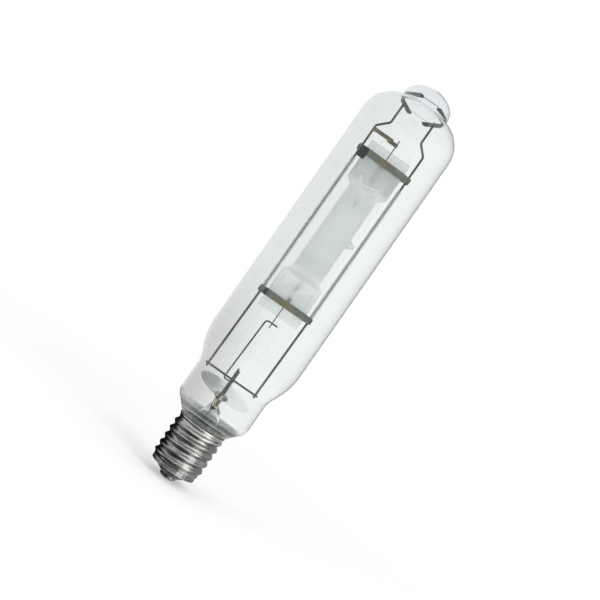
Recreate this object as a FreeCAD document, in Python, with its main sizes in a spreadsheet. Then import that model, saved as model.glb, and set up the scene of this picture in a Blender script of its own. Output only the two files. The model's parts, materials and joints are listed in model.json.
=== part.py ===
"""Tubular metal halide lamp on an E40 screw cap.

Millimetres. The origin is the foot of the centre contact, +Z runs along the lamp's axis to the crown,
and X runs across the frame's two side rods. Front is -Y.
"""
import FreeCAD
import Part
import Sketcher
import math
import os

Vector = FreeCAD.Vector

SIZES = (
    # Outer bulb
    ("lamp_length", 345.0, "foot of the contact to the top of the crown"),
    ("bulb_diameter", 76.0, "straight tube of the bulb"),
    ("glass_wall", 1.2, "wall of the bulb"),
    ("crown_diameter", 38.6, "side of the crown"),
    ("crown_dome_radius", 24.0, "top of the crown"),
    ("crown_corner_radius", 12.0, "rounding between the crown's top and side"),
    ("crown_side_height", 0.75, "straight side of the crown"),
    ("shoulder_radius", 23.5, "round shoulder of the bulb"),
    ("waist_radius", 1.6, "hollow between crown and shoulder"),
    ("taper_top", 105.4, "height where the tube's line meets the taper's"),
    ("taper_top_radius", 50.0, "bend into the taper"),
    ("taper_foot", 86.6, "height where the taper's line meets the neck's"),
    ("taper_foot_radius", 20.0, "bend out of the taper"),
    ("neck_diameter", 59.2, "straight neck"),
    ("neck_foot", 59.1, "height where the neck's line meets the cone's"),
    ("neck_foot_radius", 8.5, "bend into the cone"),
    ("throat_top", 44.1, "height where the cone's line meets the throat's"),
    ("throat_top_radius", 3.0, "bend out of the cone"),
    ("throat_diameter", 32.4, "glass throat inside the cap"),
    ("throat_foot", 30.0, "end of the glass throat"),
    # Screw cap
    ("thread_diameter", 39.5, "crests of the E40 thread"),
    ("thread_root_diameter", 35.9, "roots of the E40 thread"),
    ("thread_pitch", 6.35, "four turns to the inch"),
    ("thread_crest_flat", 1.6, "width of the crest along the axis"),
    ("thread_root_flat", 1.6, "width of the root along the axis"),
    ("thread_start", 10.65, "height of the ridge at +X where the thread begins"),
    ("thread_foot", 11.4, "height where the ridge begins to rise"),
    ("thread_top", 45.2, "height where the ridge has run out"),
    ("thread_runout", 2.6, "height over which the ridge rises and runs out"),
    ("shell_wall", 0.4, "sheet of the screw shell"),
    ("rim_height", 46.6, "top of the shell"),
    ("rim_diameter", 39.4, "opened rim of the shell"),
    ("rim_lip", 0.8, "straight lip of the rim"),
    ("rim_flare", 1.5, "height over which the rim opens"),
    ("shell_shoulder", 12.2, "height where the shell turns in"),
    ("shell_shoulder_diameter", 37.6, "shell where it turns in"),
    ("shell_foot", 8.0, "lower end of the shell"),
    ("shell_foot_diameter", 27.6, "opening edge at the shell's lower end"),
    ("insulator_step", 0.9, "insulator's edge inside the shell's"),
    ("insulator_band", 1.6, "height of the insulator's rounded side"),
    ("insulator_seat_diameter", 15.0, "insulator where the contact sits"),
    ("insulator_top", 13.4, "top of the insulator inside the shell"),
    ("insulator_bore", 4.4, "hole through the insulator"),
    ("contact_diameter", 13.3, "centre contact"),
    ("contact_height", 3.1, "centre contact"),
    ("contact_edge", 1.1, "bevel round the contact's foot"),
    ("contact_shank_diameter", 4.0, "shank of the contact in the insulator"),
    ("contact_shank_length", 4.0, "shank of the contact in the insulator"),
    ("solder_hole", 2.4, "hole through the contact"),
    ("solder_recess", 0.2, "solder above the foot"),
    ("rim_solder_diameter", 3.0, "solder over the rim"),
    ("cement_foot", 32.0, "lower end of the cement"),
    ("cement_top", 43.2, "upper end of the cement"),
    # Glass stem and exhaust tube
    ("flare_foot", 31.0, "lower end of the flare"),
    ("flare_turn", 41.0, "height where the flare starts to close"),
    ("flare_turn_radius", 14.0, "bend of the flare"),
    ("flare_top", 61.5, "flare's end at the press"),
    ("flare_top_diameter", 11.6, "flare's end at the press"),
    ("flare_wall", 1.1, "wall of the flare"),
    ("press_shift", -1.3, "press to the left of the axis"),
    ("press_depth_shift", 0.4, "press behind the axis"),
    ("press_thickness", 6.2, "narrowest part of the press"),
    ("press_width", 17.0, "press across the two leads"),
    ("press_foot", 65.0, "height where the press is at its narrowest"),
    ("press_waist", 68.4, "height where the press starts to widen"),
    ("head_thickness", 12.4, "rounded head of the press"),
    ("head_height", 71.4, "height of the head's widest part"),
    ("head_crest_thickness", 8.4, "flat top of the head"),
    ("head_crest_width", 13.4, "flat top of the head"),
    ("press_top", 73.6, "top of the press"),
    ("exhaust_diameter", 5.0, "exhaust tube"),
    ("exhaust_wall", 0.9, "exhaust tube"),
    ("exhaust_foot", 26.0, "sealed tip of the exhaust tube"),
    # Leads in the stem
    ("stem_lead_diameter", 1.6, "thick leads above the press"),
    ("front_lead_x", -2.0, "front lead across the frame"),
    ("back_lead_x", -0.6, "back lead across the frame"),
    ("front_lead_top", 95.9, "top of the front lead"),
    ("back_lead_top", 94.0, "top of the back lead"),
    ("stem_lead_foot", 71.0, "lower ends of the thick leads"),
    ("seal_wire_diameter", 1.0, "seal wires in the press"),
    ("seal_wire_foot", 62.6, "lower ends of the seal wires"),
    ("outer_lead_diameter", 0.8, "wires from the press to the cap"),
    ("contact_wire_turn", 23.0, "height where the contact wire leans to the axis"),
    ("contact_wire_land", 16.0, "height where the contact wire meets the axis"),
    ("contact_wire_foot", 1.5, "end of the contact wire in its solder"),
    ("rim_wire_diameter", 0.5, "wire to the rim"),
    ("rim_wire_turn", 27.0, "height where the rim wire runs out to the shell"),
    ("rim_wire_tail", 45.6, "end of the rim wire outside the shell"),
    ("outer_lead_bend", 1.5, "bends of the wires in the cap"),
    # Heat disc
    ("disc_diameter", 44.4, "mica disc"),
    ("disc_thickness", 0.3, "mica disc"),
    ("disc_height", 75.8, "centre of the disc"),
    ("disc_shift", -1.1, "disc to the left of the axis"),
    ("disc_lean", 6.6, "degrees, right side low"),
    ("disc_pitch", 9.5, "degrees, back side high"),
    ("disc_hole_room", 0.3, "room round a lead in the disc"),
    # Frame
    ("rod_spacing", 42.0, "between the two side rods"),
    ("rod_diameter", 1.8, "side rods"),
    ("frame_shift", -1.15, "frame to the left of the axis"),
    ("frame_foot_shift", -2.2, "feet of the rods to the left of the axis"),
    ("rod_foot", 84.2, "lower ends of the rods"),
    ("rod_kink_drop", 1.0, "rods' kink below the lower clamp"),
    ("rod_kink_radius", 120.0, "bend of the rods there"),
    ("rod_jog", 7.6, "height over which the rods run inwards"),
    ("rod_neck_drop", 21.8, "rods' upper bend below the springs' middle"),
    ("rod_neck_spacing", 27.0, "between the rods inside the crown's ring"),
    ("rod_neck_shift", -0.9, "middle of the rods there"),
    ("rod_bend", 3.0, "bends of the rods"),
    ("rod_top_drop", 2.8, "upper ends of the rods below the springs' middle"),
    ("bar_diameter", 1.7, "cross bar"),
    ("bar_height", 86.5, "middle of the cross bar"),
    ("bar_overhang", 2.3, "cross bar past the rods"),
    ("sleeve_diameter", 3.7, "quartz sleeves on the rods"),
    ("sleeve_bore", 2.1, "quartz sleeves on the rods"),
    ("left_sleeve_gap", 5.0, "left sleeve below the upper clamp"),
    ("right_sleeve_gap", 7.0, "right sleeve below the upper clamp"),
    # Clamps
    ("strap_thickness", 0.5, "clamp straps"),
    ("strap_overhang", 2.3, "strap past a rod's middle"),
    ("strap_ramp", 2.0, "length of the strap's step beside the pinch"),
    ("lower_strap_drop", 29.5, "lower clamp's foot below the arc tube's round body"),
    ("lower_strap_height", 5.3, "width of the lower straps"),
    ("upper_strap_rise", 23.8, "upper clamp's foot above the arc tube's round body"),
    ("upper_strap_height", 5.9, "width of the upper straps"),
    ("getter_width", 6.4, "getter block"),
    ("getter_height", 8.6, "getter block"),
    ("getter_thickness", 2.4, "getter block"),
    ("getter_edge", 0.5, "bevels of the getter block"),
    ("getter_drop", 3.4, "getter block's foot below the upper clamp's"),
    ("getter_left", -21.9, "left side of the getter block"),
    # Crown springs
    ("spring_width", 8.0, "spring strips"),
    ("spring_thickness", 0.5, "spring strips"),
    ("spring_slope", 29.0, "degrees, both arms to the level"),
    ("spring_bend", 3.3, "bow between the arms"),
    ("spring_drop", 0.8, "middle of the bows below the crown's waist"),
    ("left_spring_tip", 5.5, "left spring's upper tip from the axis"),
    ("left_spring_heel", 6.4, "left spring's lower tip from the axis"),
    ("right_spring_tip", 7.7, "right spring's upper tip from the axis"),
    ("right_spring_heel", 4.6, "right spring's lower tip from the axis"),
    ("tie_diameter", 0.5, "wire between the springs"),
    # Arc tube
    ("arc_diameter", 24.5, "body of the arc tube"),
    ("arc_wall", 1.6, "wall of the arc tube"),
    ("arc_body_foot", 180.5, "lower end of the round body"),
    ("arc_body_drop", 92.5, "upper end of the round body below the crown's top"),
    ("arc_shoulder", 5.8, "height over which the tube is pressed flat"),
    ("arc_shoulder_end", 5.2, "thickness of the shoulder where it meets the pinch"),
    ("chamber_depth", 3.5, "chamber's ends past the round body"),
    ("chamber_end_radius", 7.5, "rounding of the chamber's ends"),
    ("pinch_width", 34.3, "pinch seals"),
    ("pinch_web", 4.0, "flat part of the pinch seals"),
    ("pinch_bead", 5.8, "thick edges of the pinch seals"),
    ("lower_pinch_reach", 37.7, "lower end of the arc tube below the round body"),
    ("upper_pinch_reach", 36.3, "upper end of the arc tube above the round body"),
    ("tip_drop", 0.5, "sealed-off filling tip below the round body's middle"),
    ("tip_root", 8.7, "filling tip at the wall"),
    ("tip_end", 3.4, "filling tip at its end"),
    ("tip_reach", 5.4, "filling tip past the wall"),
    ("electrode_diameter", 1.4, "tungsten shank"),
    ("coil_diameter", 3.4, "tungsten overwinding"),
    ("foil_width", 3.6, "molybdenum foil"),
    ("foil_thickness", 0.12, "molybdenum foil"),
    ("foil_length", 8.0, "molybdenum foil"),
    ("foil_setback", 21.3, "foils past the ends of the round body"),
    ("arc_lead_diameter", 0.9, "leads of the arc tube"),
    ("upper_lead_proud", 1.7, "upper lead's end above the ribbon"),
    ("lower_lead_drop", 10.3, "lower lead's end below the arc tube"),
    # Conductors between frame, arc tube and stem
    ("link_thickness", 0.4, "ribbon from rod to upper lead"),
    ("link_height", 3.3, "width of the ribbons"),
    ("link_foot_drop", 4.8, "ribbon's lower edge below the rods' inward bend"),
    ("link_drop", 1.1, "second ribbon below the first"),
    ("link_lap", 3.8, "overlap of the two ribbons"),
    ("link_split", -8.8, "left end of the second ribbon"),
    ("riser_diameter", 1.3, "riser wire"),
    ("riser_hook_rise", 4.2, "riser's hook above the lower lead's end"),
    ("riser_top_x", -6.0, "riser below its hook"),
    ("riser_hook_end", 3.6, "end of the hook"),
    ("riser_foot", 84.5, "height of the riser's foot"),
    ("riser_foot_x", -7.7, "riser above its foot"),
    ("riser_hook_bend", 2.6, "bend at the hook"),
    ("riser_foot_bend", 1.5, "bend at the foot"),
    # Clearance
    ("seat", 0.1, "gap between a round seat and what sits in it"),
)

PLACES = (
    ("bulb_radius", "size.bulb_diameter / 2"),
    ("crown_side", "size.crown_diameter / 2"),
    ("neck_radius", "size.neck_diameter / 2"),
    ("throat_radius", "size.throat_diameter / 2"),
    ("throat_bore", "throat_radius - size.glass_wall"),
    ("dome_centre", "size.lamp_length - size.crown_dome_radius"),
    ("corner_depth", "size.crown_dome_radius - size.crown_corner_radius"),
    ("corner_height", "dome_centre + sqrt(corner_depth^2 - (crown_side - size.crown_corner_radius)^2)"),
    ("waist_height", "corner_height - size.crown_side_height"),
    ("waist_reach", "size.shoulder_radius + size.waist_radius"),
    ("waist_offset", "crown_side + size.waist_radius - bulb_radius + size.shoulder_radius"),
    ("shoulder_height", "waist_height - sqrt(waist_reach^2 - waist_offset^2)"),
    ("taper_slope", "atan((bulb_radius - neck_radius) / (size.taper_top - size.taper_foot)) / 2"),
    ("cone_slope", "atan((neck_radius - throat_radius) / (size.neck_foot - size.throat_top)) / 2"),
    ("thread_crest", "size.thread_diameter / 2"),
    ("thread_root", "size.thread_root_diameter / 2"),
    ("ridge_base", "size.thread_pitch - size.thread_root_flat"),
    ("rim_radius", "size.rim_diameter / 2"),
    ("shell_foot_radius", "size.shell_foot_diameter / 2"),
    ("insulator_radius", "shell_foot_radius - size.shell_wall - size.insulator_step / 2"),
    ("frame_left", "size.frame_shift - size.rod_spacing / 2"),
    ("frame_right", "size.frame_shift + size.rod_spacing / 2"),
    ("foot_left", "size.frame_foot_shift - size.rod_spacing / 2"),
    ("foot_right", "size.frame_foot_shift + size.rod_spacing / 2"),
    ("rod_radius", "size.rod_diameter / 2"),
    ("bar_depth", "rod_radius + size.seat + size.bar_diameter / 2"),
    ("back_lead_y", "bar_depth + size.bar_diameter / 2 + size.seat + size.stem_lead_diameter / 2"),
    ("riser_depth", "-(size.arc_lead_diameter / 2 + size.seat + size.riser_diameter / 2)"),
    ("front_lead_y", "riser_depth - size.riser_diameter / 2 - size.seat - size.stem_lead_diameter / 2"),
    ("pinch_half", "size.pinch_width / 2"),
    ("strap_inside", "size.pinch_bead / 2 + size.seat"),
    ("strap_end_inside", "rod_radius + size.seat"),
    ("arc_body_top", "size.lamp_length - size.arc_body_drop"),
    ("arc_middle", "(size.arc_body_foot + arc_body_top) / 2"),
    ("chamber_foot", "size.arc_body_foot - size.chamber_depth"),
    ("chamber_top", "arc_body_top + size.chamber_depth"),
    ("pinch_foot", "size.arc_body_foot - size.lower_pinch_reach"),
    ("pinch_top", "arc_body_top + size.upper_pinch_reach"),
    ("electrode_reach", "(arc_body_top - size.arc_body_foot) / 6"),
    ("coil_length", "electrode_reach / 2"),
    ("coil_setback", "electrode_reach / 10"),
    ("lower_foil_foot", "size.arc_body_foot - size.foil_setback - size.foil_length"),
    ("upper_foil_foot", "arc_body_top + size.foil_setback"),
    ("lower_lead_foot", "pinch_foot - size.lower_lead_drop"),
    ("riser_top", "lower_lead_foot + size.riser_hook_rise"),
    ("lower_strap_foot", "size.arc_body_foot - size.lower_strap_drop"),
    ("lower_strap_top", "lower_strap_foot + size.lower_strap_height"),
    ("upper_strap_foot", "arc_body_top + size.upper_strap_rise"),
    ("neck_left", "size.rod_neck_shift - size.rod_neck_spacing / 2"),
    ("neck_right", "size.rod_neck_shift + size.rod_neck_spacing / 2"),
    ("crown_bore", "crown_side - size.glass_wall - size.seat"),
    ("spring_reach", "sqrt(crown_bore^2 - (size.spring_width / 2)^2)"),
    ("spring_corner", "spring_reach + size.spring_bend * (1 / sin(size.spring_slope) - 1)"),
    ("left_tip_rise", "(spring_corner - size.left_spring_tip) * tan(size.spring_slope)"),
    ("left_heel_drop", "(spring_corner - size.left_spring_heel) * tan(size.spring_slope)"),
    ("right_tip_rise", "(spring_corner - size.right_spring_tip) * tan(size.spring_slope)"),
    ("right_heel_drop", "(spring_corner - size.right_spring_heel) * tan(size.spring_slope)"),
    ("spring_middle", "waist_height - size.spring_drop"),
    ("tie_height", "spring_middle + right_tip_rise + size.seat + size.tie_diameter / 2"),
    ("rod_kink", "lower_strap_foot - size.rod_kink_drop"),
    ("rod_neck", "spring_middle - size.rod_neck_drop"),
    ("rod_shoulder", "rod_neck - size.rod_jog"),
    ("rod_top", "spring_middle - size.rod_top_drop"),
    ("link_foot", "rod_shoulder - size.link_foot_drop"),
    ("upper_lead_top", "link_foot + size.link_height + size.upper_lead_proud"),
    ("link_depth", "-(rod_radius + size.seat + size.link_thickness)"),
    ("arc_radius", "size.arc_diameter / 2"),
    ("chamber_radius", "arc_radius - size.arc_wall"),
    ("contact_wire_arm", "sqrt(size.front_lead_x^2 + front_lead_y^2)"),
    ("contact_wire_heading", "atan2(front_lead_y; size.front_lead_x)"),
    ("rim_wire_arm", "sqrt(size.back_lead_x^2 + back_lead_y^2)"),
    ("rim_wire_heading", "atan2(back_lead_y; size.back_lead_x)"),
    ("rim_wire_rise", "(throat_radius + thread_root - size.shell_wall) / 2"),
    ("rim_wire_inside", "rim_radius - size.shell_wall - size.seat - size.rim_wire_diameter / 2"),
    ("rim_wire_outside", "rim_radius + size.seat + size.rim_wire_diameter / 2"),
    ("rim_wire_over", "size.rim_height + size.seat + size.rim_wire_diameter / 2"),
)

doc = FreeCAD.newDocument("MetalHalideLamp")


def fill_sheet(name, rows):
    """Write one row per value: what it is, the value and its alias."""
    table = doc.addObject("Spreadsheet::Sheet", name)
    for row, (alias, content, note) in enumerate(rows, start=1):
        table.set(f"A{row}", note)
        table.set(f"B{row}", content)
        table.setAlias(f"B{row}", alias)
    doc.recompute()
    return table


size = fill_sheet("size", [(alias, str(number), note) for alias, number, note in SIZES])
place = fill_sheet("place", [(alias, "=" + formula, alias) for alias, formula in PLACES])


def value(expression):
    """Number that an expression of the two sheets gives."""
    result = place.evalExpression(expression)
    return float(getattr(result, "Value", result))


def new(kind, name, **bound):
    """Add an object and bind its properties to expressions."""
    item = doc.addObject(kind, name)
    for prop, expression in bound.items():
        item.setExpression(prop, expression)
    return item


def move(item, x="0", y="0", z="0", turn="0; 0; 0"):
    """Bind an object's place, and its turn as yaw, pitch and roll in degrees."""
    item.setExpression("Placement", f"placement(vector({x}; {y}; {z}); rotation({turn}))")
    return item


def new_body(name):
    return doc.addObject("PartDesign::Body", name)


def sketch_in(body, role, name, offset=None):
    """Sketch on one of the body's origin planes, moved along the plane's normal by offset."""
    sketch = body.newObject("Sketcher::SketchObject", name)
    plane = next(item for item in body.Origin.OriginFeatures if item.Role == role)
    sketch.AttachmentSupport = (plane, [""])
    sketch.MapMode = "FlatFace"
    if offset:
        sketch.setExpression("AttachmentOffset.Base.z", offset)
    return sketch


def hold(sketch, kind, geometry, expression):
    """Add a measured constraint bound to an expression."""
    index = sketch.addConstraint(Sketcher.Constraint(kind, *geometry, value(expression)))
    sketch.setExpression(f"Constraints[{index}]", expression)


def fix_point(sketch, geometry, end, x, y):
    """Hold a point at two expressions measured from the sketch's origin."""
    for kind, axis, expression in (("DistanceX", -2, x), ("DistanceY", -1, y)):
        if expression == "0":
            sketch.addConstraint(Sketcher.Constraint("PointOnObject", geometry, end, axis))
        else:
            hold(sketch, kind, (-1, 1, geometry, end), expression)


def near_end(sketch, arc, point):
    """Number of the arc's end that lies at a point."""
    return min((1, 2), key=lambda end: sketch.getPoint(arc, end).distanceToPoint(point))


def join_tangent(sketch, line, line_end, arc, point):
    sketch.addConstraint(Sketcher.Constraint("Tangent", line, line_end, arc, near_end(sketch, arc, point)))


def draw_chain(sketch, points, radii, closed):
    """Draw straight sides with round corners. Returns the lines and the arcs by corner."""
    count = len(points)
    before, after, middle = list(points), list(points), {}
    for i, radius in enumerate(radii):
        if not radius:
            continue
        back = (points[i - 1] - points[i]).normalize()
        ahead = (points[(i + 1) % count] - points[i]).normalize()
        half = back.getAngle(ahead) / 2
        before[i] = points[i] + back * (radius / math.tan(half))
        after[i] = points[i] + ahead * (radius / math.tan(half))
        bisector = (back + ahead).normalize()
        middle[i] = points[i] + bisector * (radius / math.sin(half) - radius)
    lines = {}
    for i in range(count if closed else count - 1):
        lines[i] = sketch.addGeometry(Part.LineSegment(after[i], before[(i + 1) % count]))
    arcs = {}
    for i, top in middle.items():
        arcs[i] = sketch.addGeometry(Part.Arc(before[i], top, after[i]))
        last = (i - 1) % count
        join_tangent(sketch, lines[last], 2, arcs[i], before[i])
        join_tangent(sketch, lines[i], 1, arcs[i], after[i])
    for i in range(count):
        if i in middle or (not closed and i in (0, count - 1)):
            continue
        sketch.addConstraint(Sketcher.Constraint("Coincident", lines[(i - 1) % count], 2, lines[i], 1))
    return lines, arcs


def outline(sketch, corners, closed=True):
    """Chain through corners (x, y) or (x, y, radius), all bound to expressions."""
    points = [Vector(value(corner[0]), value(corner[1]), 0) for corner in corners]
    radii = [value(corner[2]) if len(corner) > 2 else 0 for corner in corners]
    lines, arcs = draw_chain(sketch, points, radii, closed)
    for i, corner in enumerate(corners):
        if i in arcs:
            mark = sketch.addGeometry(Part.Point(points[i]), True)
            fix_point(sketch, mark, 1, corner[0], corner[1])
            for line in (lines[(i - 1) % len(corners)], lines[i]):
                sketch.addConstraint(Sketcher.Constraint("PointOnObject", mark, 1, line))
            hold(sketch, "Radius", (arcs[i],), corner[2])
        elif i in lines:
            fix_point(sketch, lines[i], 1, corner[0], corner[1])
        else:
            fix_point(sketch, lines[i - 1], 2, corner[0], corner[1])
    return lines, arcs, points, radii


def band(sketch, corners, thickness, side):
    """Strip of even thickness along a chain, on its left (side 1) or right (side -1)."""
    lines, arcs, points, radii = outline(sketch, corners, closed=False)
    gap = value(thickness)
    runs = [(b - a).normalize() for a, b in zip(points, points[1:])]
    normals = [Vector(-run.y, run.x, 0) * side for run in runs]
    far = [points[0] + normals[0] * gap]
    far_radii, far_rules = [0], [None]
    for i in range(1, len(points) - 1):
        turn = runs[i - 1].x * runs[i].y - runs[i - 1].y * runs[i].x
        middle = (normals[i - 1] + normals[i]).normalize()
        far.append(points[i] + middle * (gap / middle.dot(normals[i])))
        sign = "-" if turn * side > 0 else "+"
        rule = f"({corners[i][2]}) {sign} ({thickness})" if radii[i] else None
        far_rules.append(rule)
        far_radii.append(value(rule) if rule else 0)
    far.append(points[-1] + normals[-1] * gap)
    far_radii.append(0)
    far_lines, far_arcs = draw_chain(sketch, far, far_radii, closed=False)
    for i, line in far_lines.items():
        sketch.addConstraint(Sketcher.Constraint("Parallel", line, lines[i]))
        hold(sketch, "Distance", (line, 1, lines[i]), thickness)
    for i, arc in far_arcs.items():
        hold(sketch, "Radius", (arc,), far_rules[i])
    last = len(points) - 2
    for line, far_line, end in ((lines[0], far_lines[0], 1), (lines[last], far_lines[last], 2)):
        cap = sketch.addGeometry(Part.LineSegment(sketch.getPoint(line, end), sketch.getPoint(far_line, end)))
        sketch.addConstraint(Sketcher.Constraint("Coincident", cap, 1, line, end))
        sketch.addConstraint(Sketcher.Constraint("Coincident", cap, 2, far_line, end))
        sketch.addConstraint(Sketcher.Constraint("Perpendicular", cap, line))


def turned(body, kind, sketch, name):
    """Revolution or Groove of a sketch about its vertical axis."""
    feature = body.newObject("PartDesign::" + kind, name)
    feature.Profile = sketch
    feature.ReferenceAxis = (sketch, ["V_Axis"])
    feature.Angle = 360
    body.Tip = feature
    return feature


def turned_body(name, corners):
    """Body turned from one closed outline of (radius, height) corners."""
    body = new_body(name)
    sketch = sketch_in(body, "XZ_Plane", name + "_section")
    outline(sketch, corners)
    turned(body, "Revolution", sketch, name + "_turned")
    return body


def rod(name, diameter, x, y, foot, top):
    """Straight upright wire or pin."""
    item = new("Part::Cylinder", name, Radius=f"({diameter}) / 2", Height=f"({top}) - ({foot})")
    return move(item, x, y, foot)


def bent_wire(name, diameter, corners, depth=None):
    """Round wire along a chain in an upright plane, depth behind the axis."""
    body = new_body(name)
    path = sketch_in(body, "XZ_Plane", name + "_path", f"-({depth})" if depth else None)
    outline(path, corners, closed=False)
    doc.recompute()
    section = body.newObject("Sketcher::SketchObject", name + "_section")
    section.AttachmentSupport = (path, ["Edge1"])
    section.MapMode = "NormalToEdge"
    circle = section.addGeometry(Part.Circle(Vector(0, 0, 0), Vector(0, 0, 1), value(diameter) / 2))
    section.addConstraint(Sketcher.Constraint("Coincident", circle, 3, -1, 1))
    hold(section, "Diameter", (circle,), diameter)
    pipe = body.newObject("PartDesign::AdditivePipe", name + "_pipe")
    pipe.Profile = section
    pipe.Spine = (path, [])
    body.Tip = pipe
    return body


def padded(name, role, length, draw, offset=None, middle=False):
    """Body padded from one sketch that draw() fills."""
    body = new_body(name)
    sketch = sketch_in(body, role, name + "_section", offset)
    draw(sketch)
    pad = body.newObject("PartDesign::Pad", name + "_pad")
    pad.Profile = sketch
    pad.setExpression("Length", length)
    pad.Midplane = middle
    body.Tip = pad
    return body


def fused(name, shapes):
    item = doc.addObject("Part::MultiFuse", name)
    item.Shapes = shapes
    return item


def shared(name, shapes):
    item = doc.addObject("Part::MultiCommon", name)
    item.Shapes = shapes
    return item


def cut(name, base, tools):
    """Base less one tool or several."""
    item = doc.addObject("Part::Cut", name)
    item.Base = base
    item.Tool = tools[0] if len(tools) == 1 else fused(name + "_tools", tools)
    return item


# Outer bulb: one revolved wall, the cavity being the same outline set in by the wall
def bulb_outline(sketch, inset):
    """Half section from the throat's end to the crown, inset from the outer surface."""
    def wall(radius):
        return f"{radius} - {inset}"

    def lifted(height, slope):
        return f"{height} + {inset} * tan({slope})"

    side = value(wall("place.crown_side"))
    foot = "size.throat_foot"
    corners = [
        ("0", foot),
        (wall("place.throat_radius"), foot),
        (wall("place.throat_radius"), lifted("size.throat_top", "place.cone_slope"),
         f"size.throat_top_radius + {inset}"),
        (wall("place.neck_radius"), lifted("size.neck_foot", "place.cone_slope"),
         wall("size.neck_foot_radius")),
        (wall("place.neck_radius"), lifted("size.taper_foot", "place.taper_slope"),
         f"size.taper_foot_radius + {inset}"),
        (wall("place.bulb_radius"), lifted("size.taper_top", "place.taper_slope"),
         wall("size.taper_top_radius")),
        (wall("place.bulb_radius"), "place.shoulder_height"),
    ]
    lines, arcs, points, radii = outline(sketch, corners, closed=False)
    shoulder_radius = value(wall("size.shoulder_radius"))
    shoulder_centre = Vector(value("place.bulb_radius - size.shoulder_radius"), points[-1].y, 0)
    waist_radius = value(f"size.waist_radius + {inset}")
    waist_x = side + waist_radius
    reach = shoulder_radius + waist_radius
    waist_rise = math.sqrt(reach**2 - (waist_x - shoulder_centre.x)**2)
    waist_centre = Vector(waist_x, shoulder_centre.y + waist_rise, 0)
    dome_radius = value(wall("size.crown_dome_radius"))
    corner_radius = value(wall("size.crown_corner_radius"))
    dome_centre = Vector(0, value("place.dome_centre"), 0)
    corner_x = side - corner_radius
    rise = math.sqrt((dome_radius - corner_radius)**2 - corner_x**2)
    corner_centre = Vector(corner_x, dome_centre.y + rise, 0)
    up = Vector(0, 0, 1)

    def bow(centre, radius, start, end):
        return sketch.addGeometry(Part.ArcOfCircle(Part.Circle(centre, up, radius), start, end))

    def heading(a, b):
        return math.atan2(b.y - a.y, b.x - a.x)

    to_waist = heading(shoulder_centre, waist_centre)
    to_corner = heading(dome_centre, corner_centre)
    shoulder = bow(shoulder_centre, shoulder_radius, 0, to_waist)
    waist = bow(waist_centre, waist_radius, math.pi, math.pi + to_waist)
    straight = sketch.addGeometry(Part.LineSegment(
        Vector(side, waist_centre.y, 0), Vector(side, corner_centre.y, 0)))
    corner = bow(corner_centre, corner_radius, 0, to_corner)
    dome = bow(dome_centre, dome_radius, to_corner, math.pi / 2)
    axis = sketch.addGeometry(Part.LineSegment(Vector(0, dome_centre.y + dome_radius, 0), points[0]))
    last = lines[len(corners) - 2]
    for a, a_end, b, b_end in (
        (last, 2, shoulder, 1), (shoulder, 2, waist, 2), (waist, 1, straight, 1),
        (straight, 2, corner, 1), (corner, 2, dome, 1),
    ):
        sketch.addConstraint(Sketcher.Constraint("Tangent", a, a_end, b, b_end))
    sketch.addConstraint(Sketcher.Constraint("Coincident", dome, 2, axis, 1))
    sketch.addConstraint(Sketcher.Constraint("Coincident", axis, 2, lines[0], 1))
    sketch.addConstraint(Sketcher.Constraint("PointOnObject", dome, 2, -2))
    sketch.addConstraint(Sketcher.Constraint("PointOnObject", dome, 3, -2))
    sketch.addConstraint(Sketcher.Constraint("Vertical", straight))
    hold(sketch, "DistanceY", (-1, 1, dome, 3), "place.dome_centre")
    hold(sketch, "DistanceX", (-1, 1, straight, 1), wall("place.crown_side"))
    hold(sketch, "Radius", (dome,), wall("size.crown_dome_radius"))
    hold(sketch, "Radius", (corner,), wall("size.crown_corner_radius"))
    hold(sketch, "Radius", (waist,), f"size.waist_radius + {inset}")
    hold(sketch, "Radius", (shoulder,), wall("size.shoulder_radius"))


def make_outer_bulb():
    body = new_body("outer_bulb")
    outside = sketch_in(body, "XZ_Plane", "bulb_outside")
    bulb_outline(outside, "0")
    turned(body, "Revolution", outside, "bulb_solid")
    inside = sketch_in(body, "XZ_Plane", "bulb_inside")
    bulb_outline(inside, "size.glass_wall")
    turned(body, "Groove", inside, "bulb_cavity")
    return body


# Screw cap: thin shell with a rolled knuckle thread, insulator, contact, cement and solder
def thread_ridge(name, inset):
    """Helical ridge of the thread, set in from the shell's outer surface and run out at both ends."""
    helix = new("Part::Helix", name + "_helix", Pitch="size.thread_pitch", Radius="place.thread_root",
                Height="size.thread_top - size.thread_start")
    helix.SegmentLength = 1
    move(helix, z="size.thread_start")
    section = move(doc.addObject("Sketcher::SketchObject", name + "_section"), turn="0; 0; 90")
    root = f"place.thread_root - {inset}"
    crest = f"place.thread_crest - {inset}"
    base = f"(place.ridge_base - {inset}) / 2"
    flat = f"(size.thread_crest_flat - {inset} / 2) / 2"
    outline(section, [
        (f"{root} - size.shell_wall", f"size.thread_start - {base}"),
        (root, f"size.thread_start - {base}"),
        (crest, f"size.thread_start - {flat}"),
        (crest, f"size.thread_start + {flat}"),
        (root, f"size.thread_start + {base}"),
        (f"{root} - size.shell_wall", f"size.thread_start + {base}"),
    ])
    sweep = doc.addObject("Part::Sweep", name + "_sweep")
    sweep.Sections = [section]
    sweep.Spine = (helix, [])
    sweep.Solid = True
    sweep.Frenet = True
    envelope = turned_body(name + "_envelope", [
        ("0", f"size.thread_foot + {inset}"),
        (root, f"size.thread_foot + {inset}"),
        (crest, f"size.thread_foot + size.thread_runout + {inset}"),
        (crest, f"size.thread_top - size.thread_runout - {inset}"),
        (root, f"size.thread_top - {inset}"),
        ("0", f"size.thread_top - {inset}"),
    ])
    return shared(name, [sweep, envelope])


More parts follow.
